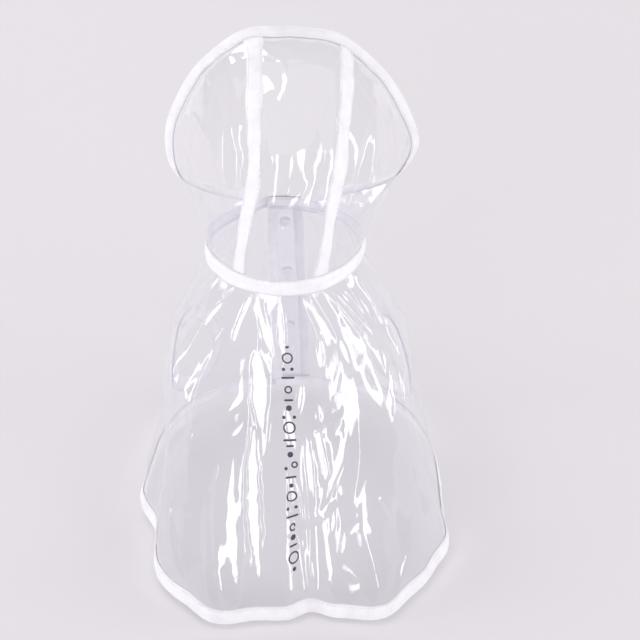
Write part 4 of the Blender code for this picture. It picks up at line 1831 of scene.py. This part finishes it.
@dataclass
class PrintColumn:
    """A column of plain dots, rings and bars, printed on the film down the mid back."""

    form: BodyForm
    finishes: Finishes
    motifs: Motifs = PRINT_MOTIFS
    turn: float = 0.005           # of its middle line, from the mid back
    start: float = 0.17
    line: float = 0.0012
    bar_radius: float = 0.62      # of a bar's round ends, in lines
    least_inset: float = 0.5      # a small motif's line, as a share of its radius
    ink: float = 0.00010
    height: float = 0.00034
    steps: int = 32               # corners of a round motif
    samples: int = 200            # places that the length down the back is read at

    def build(self) -> None:
        """Make every motif flat, then lay them all on the film."""
        bm = bmesh.new()
        for word, x, y, size in self.motifs:
            self.add_motif(bm, Motif(word), x / 1000, y / 1000, size / 1000)
        bmesh.ops.triangulate(bm, faces=[f for f in bm.faces if len(f.verts) > 4])
        across, lengths = flat_places(bm).T
        downs = self.downs(lengths)
        turns = self.turn + across / self.form.size_a(0 * downs, downs)
        move(bm, self.form.cloth(turns, downs, self.height))
        face_outwards(bm, lambda p: Vector((0.0, 1.0, 0.5)))
        piece = finish_piece("print_column", bm, self.finishes.ink)
        thicken(piece, self.ink)

    def downs(self, lengths: Array) -> Array:
        """Find places down the body.

        Args:
            lengths: Lengths of film from the print's start.

        Returns:
            Downs.
        """
        rows = np.linspace(self.start, 1.0, self.samples)
        points = self.form.base(np.zeros(self.samples), rows)
        steps = np.linalg.norm(np.diff(points, axis=0), axis=1)
        return np.interp(lengths, np.concatenate(((0.0,), np.cumsum(steps))), rows)

    def add_motif(self, bm: bmesh.types.BMesh, motif: Motif, x: float, y: float,
                  size: float) -> None:
        """Draw one flat motif.

        Args:
            bm: The mesh to add to.
            motif: Its shape.
            x: Its middle across.
            y: Its middle down.
            size: Its radius, or half its length.
        """
        radius = self.line * self.bar_radius if motif is Motif.BAR else size
        made = bmesh.ops.create_circle(bm, cap_ends=True, segments=self.steps,
                                       radius=radius)["verts"]
        for vert in made:
            if motif is Motif.BAR:
                vert.co.x += math.copysign(size - radius, vert.co.x)
            vert.co += Vector((x, y, 0.0))
        face = made[0].link_faces[0]
        bmesh.ops.inset_region(bm, faces=[face], use_boundary=True, use_even_offset=True,
                               thickness=min(self.line, radius * self.least_inset))
        if motif is Motif.RING:
            bmesh.ops.delete(bm, geom=[face], context="FACES")


# ---- studio
class LightUse(Enum):
    """What a soft light is there for: matt surfaces, glossy ones or both."""

    SHADE = (True, False)
    SHINE = (False, True)
    BOTH = (True, True)


@dataclass(frozen=True)
class SoftBox:
    """A soft light: where it stands as seen from the cape, its size and its brightness."""

    name: str
    azimuth: float
    elevation: float
    distance: float
    width: float
    height: float
    radiance: float
    use: LightUse
    aim: tuple[float, float, float] = (0.0, 0.06, -0.06)

    def build(self) -> None:
        """Make the light, aimed at the cape."""
        light = bpy.data.lights.new(self.name, "AREA")
        light.shape = "RECTANGLE"
        light.size, light.size_y = self.width, self.height
        light.energy = self.radiance * math.pi * self.width * self.height
        lamp = place_object(self.name, light)
        lamp.visible_diffuse, lamp.visible_glossy = self.use.value
        towards = Vector(looking(math.radians(self.azimuth), math.radians(self.elevation)))
        lamp.location = Vector(self.aim) + towards * self.distance
        lamp.rotation_euler = towards.to_track_quat("Z", "Y").to_euler()


@dataclass
class Studio:
    """Camera, pale floor and soft boxes."""

    camera_place: tuple[float, float, float] = (0.0, 0.9420, 0.6596)
    camera_aim: tuple[float, float, float] = (-0.0265, 0.0344, -0.0492)
    lens: float = 82.9
    sensor: float = 36.0
    floor_drop: float = 0.002
    floor_half: float = 8.0
    see_through: int = 32         # clear layers that a ray may pass
    ambient: str = "#C4C2C5"
    lights: tuple[SoftBox, ...] = (
        SoftBox("left_key", 25, 14, 4.0, 2.40, 1.40, 3.8, LightUse.SHADE),
        SoftBox("right_key", -45, 14, 4.0, 1.90, 1.30, 3.0, LightUse.SHADE),
        SoftBox("front_left", 150, 14, 3.2, 1.60, 1.20, 2.6, LightUse.SHADE),
        SoftBox("front_right", -150, 14, 3.2, 1.60, 1.20, 2.6, LightUse.SHADE),
        SoftBox("left_side", 82, 9, 3.2, 1.50, 0.90, 7.0, LightUse.SHADE),
        SoftBox("right_side", -82, 9, 3.2, 1.50, 0.90, 7.0, LightUse.SHADE),
        SoftBox("ceiling", 0, 90, 4.0, 8.00, 8.00, 0.3, LightUse.BOTH),
        SoftBox("overhead", 138, 68, 1.6, 0.45, 0.60, 2.6, LightUse.BOTH),
        SoftBox("left_strip", 23, 24, 1.5, 0.40, 1.35, 4.0, LightUse.SHINE),
        SoftBox("right_strip", -36, 24, 1.5, 0.30, 1.35, 4.0, LightUse.SHINE),
        SoftBox("left_edge", 84, 18, 1.5, 0.14, 0.90, 4.5, LightUse.SHINE),
        SoftBox("right_edge", -92, 16, 1.5, 0.14, 0.90, 4.5, LightUse.SHINE),
        SoftBox("front_strip", 163, 26, 1.5, 0.30, 1.10, 3.2, LightUse.SHINE),
    )

    def build(self) -> None:
        """Make the whole studio."""
        camera = bpy.data.cameras.new("camera")
        camera.lens, camera.sensor_width = self.lens, self.sensor
        eye = place_object("camera", camera)
        eye.location = self.camera_place
        look = Vector(self.camera_place) - Vector(self.camera_aim)
        eye.rotation_euler = look.to_track_quat("Z", "Y").to_euler()
        bpy.context.scene.camera = eye
        for light in self.lights:
            light.build()
        self.make_floor()
        self.make_world()

    def make_floor(self) -> None:
        """Lay the floor just below the cape's lowest point."""
        bm = bmesh.new()
        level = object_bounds()[0].z - self.floor_drop
        bmesh.ops.create_grid(bm, x_segments=1, y_segments=1, size=self.floor_half,
                              matrix=Matrix.Translation((0.0, 0.0, level)))
        floor = mesh_object("floor", bm, StudioPaper().build())
        floor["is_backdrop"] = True

    def make_world(self) -> None:
        """Light the studio softly from all round."""
        scene = bpy.context.scene
        scene.world = bpy.data.worlds.new("studio")
        scene.world.use_nodes = True
        backdrop = scene.world.node_tree.nodes["Background"]
        backdrop.inputs["Color"].default_value = linear(self.ambient)
        scene.view_settings.view_transform = "Standard"
        scene.cycles.transparent_max_bounces = self.see_through


# ---- the cape
@dataclass
class RainCape:
    """The whole cape, piece by piece. A length is a tape's run, measured on the form."""

    body: BodyForm = field(default_factory=BodyForm)
    hood: HoodForm = field(default_factory=HoodForm)
    finishes: Finishes = field(default_factory=Finishes)
    hem_length: float = 0.905
    hem_width: float = 0.0105
    face_length: float = 0.49
    face_width: float = 0.0108
    front_length: float = 0.21
    front_width: float = 0.0075
    front_top: float = 0.012        # the front tapes' upper end and reach, down the body
    front_reach: float = 0.95
    leg_length: float = 0.22
    leg_width: float = 0.0100
    seam_length: float = 0.212
    seam_widths: Rows = ((0.0, 0.88), (0.5, 0.92), (1.0, 1.12))
    seam_foot: float = 0.035        # the seam tapes' lower end and reach, up the hood
    seam_reach: float = 0.915
    neck_length: float = 0.375
    neck_width: float = 0.0140

    def build(self) -> None:
        """Make every piece in order."""
        BodyPanel(self.body, self.finishes).build()
        for part in HoodPart:
            HoodPanel(self.hood, self.finishes, part).build()
        for run, width, seed in self.binding_runs():
            Binding(run, self.finishes, width=width, seed=seed).build()
        for side in Side:
            FlatTape(self.seam_run(side), self.finishes, seed=side + 2.0,
                     widths=self.seam_widths,
                     rests_on=("film_hood_centre", f"film_hood_{side.word}")).build()
        FlatTape(self.neck_run(), self.finishes, width=self.neck_width, puff=0.0022,
                 rise=0.0009, gather=0.0004, seed=0.7).build()
        PressStuds(self.body, self.finishes).build()
        PrintColumn(self.body, self.finishes).build()

    def binding_runs(self) -> list[tuple[TapeRun, float, float]]:
        """Lay out the folded bindings.

        Returns:
            Each one's run, width and seed.
        """
        runs = [(TapeRun("tape_hem", "hem_binding", self.body, self.at_hem,
                         self.hem_length), self.hem_width, 1.1),
                (TapeRun("tape_hood_edge", "hood_edge_binding", self.hood, self.at_face_edge,
                         self.face_length), self.face_width, 2.9)]
        for side in Side:
            front = TapeRun(f"tape_front_{side.word}", f"front_binding_{side.word}",
                            self.body, partial(self.at_front, side), self.front_length)
            leg = TapeRun(f"tape_leg_{side.word}", f"leg_binding_{side.word}", self.body,
                          partial(self.at_leg, side), self.leg_length, closed=True)
            runs += [(front, self.front_width, 4.0 + side), (leg, self.leg_width, 6.0 + side)]
        return runs

    def seam_run(self, side: Side) -> TapeRun:
        """The run of a hood seam's tape, from the neck tape to the face-edge binding."""
        return TapeRun(f"tape_seam_{side.word}", f"hood_seam_tape_{side.word}", self.hood,
                       partial(self.at_seam, side), self.seam_length)

    def neck_run(self) -> TapeRun:
        """The run of the tape over the neck seam."""
        return TapeRun("tape_neck", "neck_binding", NeckForm(self.body, self.hood),
                       self.at_neck, self.neck_length)

    def at_hem(self, u: Array, inset: Array) -> tuple[Array, Array]:
        """Places along the hem, from the right front edge to the left one."""
        a = (2 * u - 1) * self.body.end(np.ones(len(u)))
        return a, 1 - inset / self.body.size_b(a, np.ones(len(u)))

    def at_face_edge(self, u: Array, inset: Array) -> tuple[Array, Array]:
        """Places along the face edge, from the right front corner to the left one."""
        a = 2 * u - 1
        return a, 1 - inset / self.hood.size_b(a, np.ones(len(u)))

    def at_front(self, side: Side, u: Array, inset: Array) -> tuple[Array, Array]:
        """Find places down a front edge.

        Args:
            side: Which edge.
            u: Shares down the edge.
            inset: Distances in from it.

        Returns:
            Turns and downs.
        """
        b = self.front_top + self.front_reach * u
        end = side * self.body.end(b)
        return end - side * inset / self.body.size_a(end, b), b

    def at_leg(self, side: Side, u: Array, inset: Array) -> tuple[Array, Array]:
        """Places round a leg hole."""
        return self.body.leg_rim(side, 2 * math.pi * u, inset)

    def at_seam(self, side: Side, u: Array, inset: Array) -> tuple[Array, Array]:
        """Places up a hood seam."""
        return self.hood.seam(side, inset, self.seam_foot + self.seam_reach * u)

    def at_neck(self, u: Array, inset: Array) -> tuple[Array, Array]:
        """Places along the neck seam, from the right front edge to the left one."""
        return (2 * u - 1) * self.body.end(np.zeros(len(u))), inset


def main() -> None:
    """Build the cape and its studio, and log the faces of each piece."""
    logging.basicConfig(level=logging.INFO, format="%(message)s")
    noise.seed_set(CRUMPLE_SEED)
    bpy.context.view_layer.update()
    Studio().build()
    RainCape().build()
    LOG.info("the cape is whole")


if __name__ == "__main__":
    main()
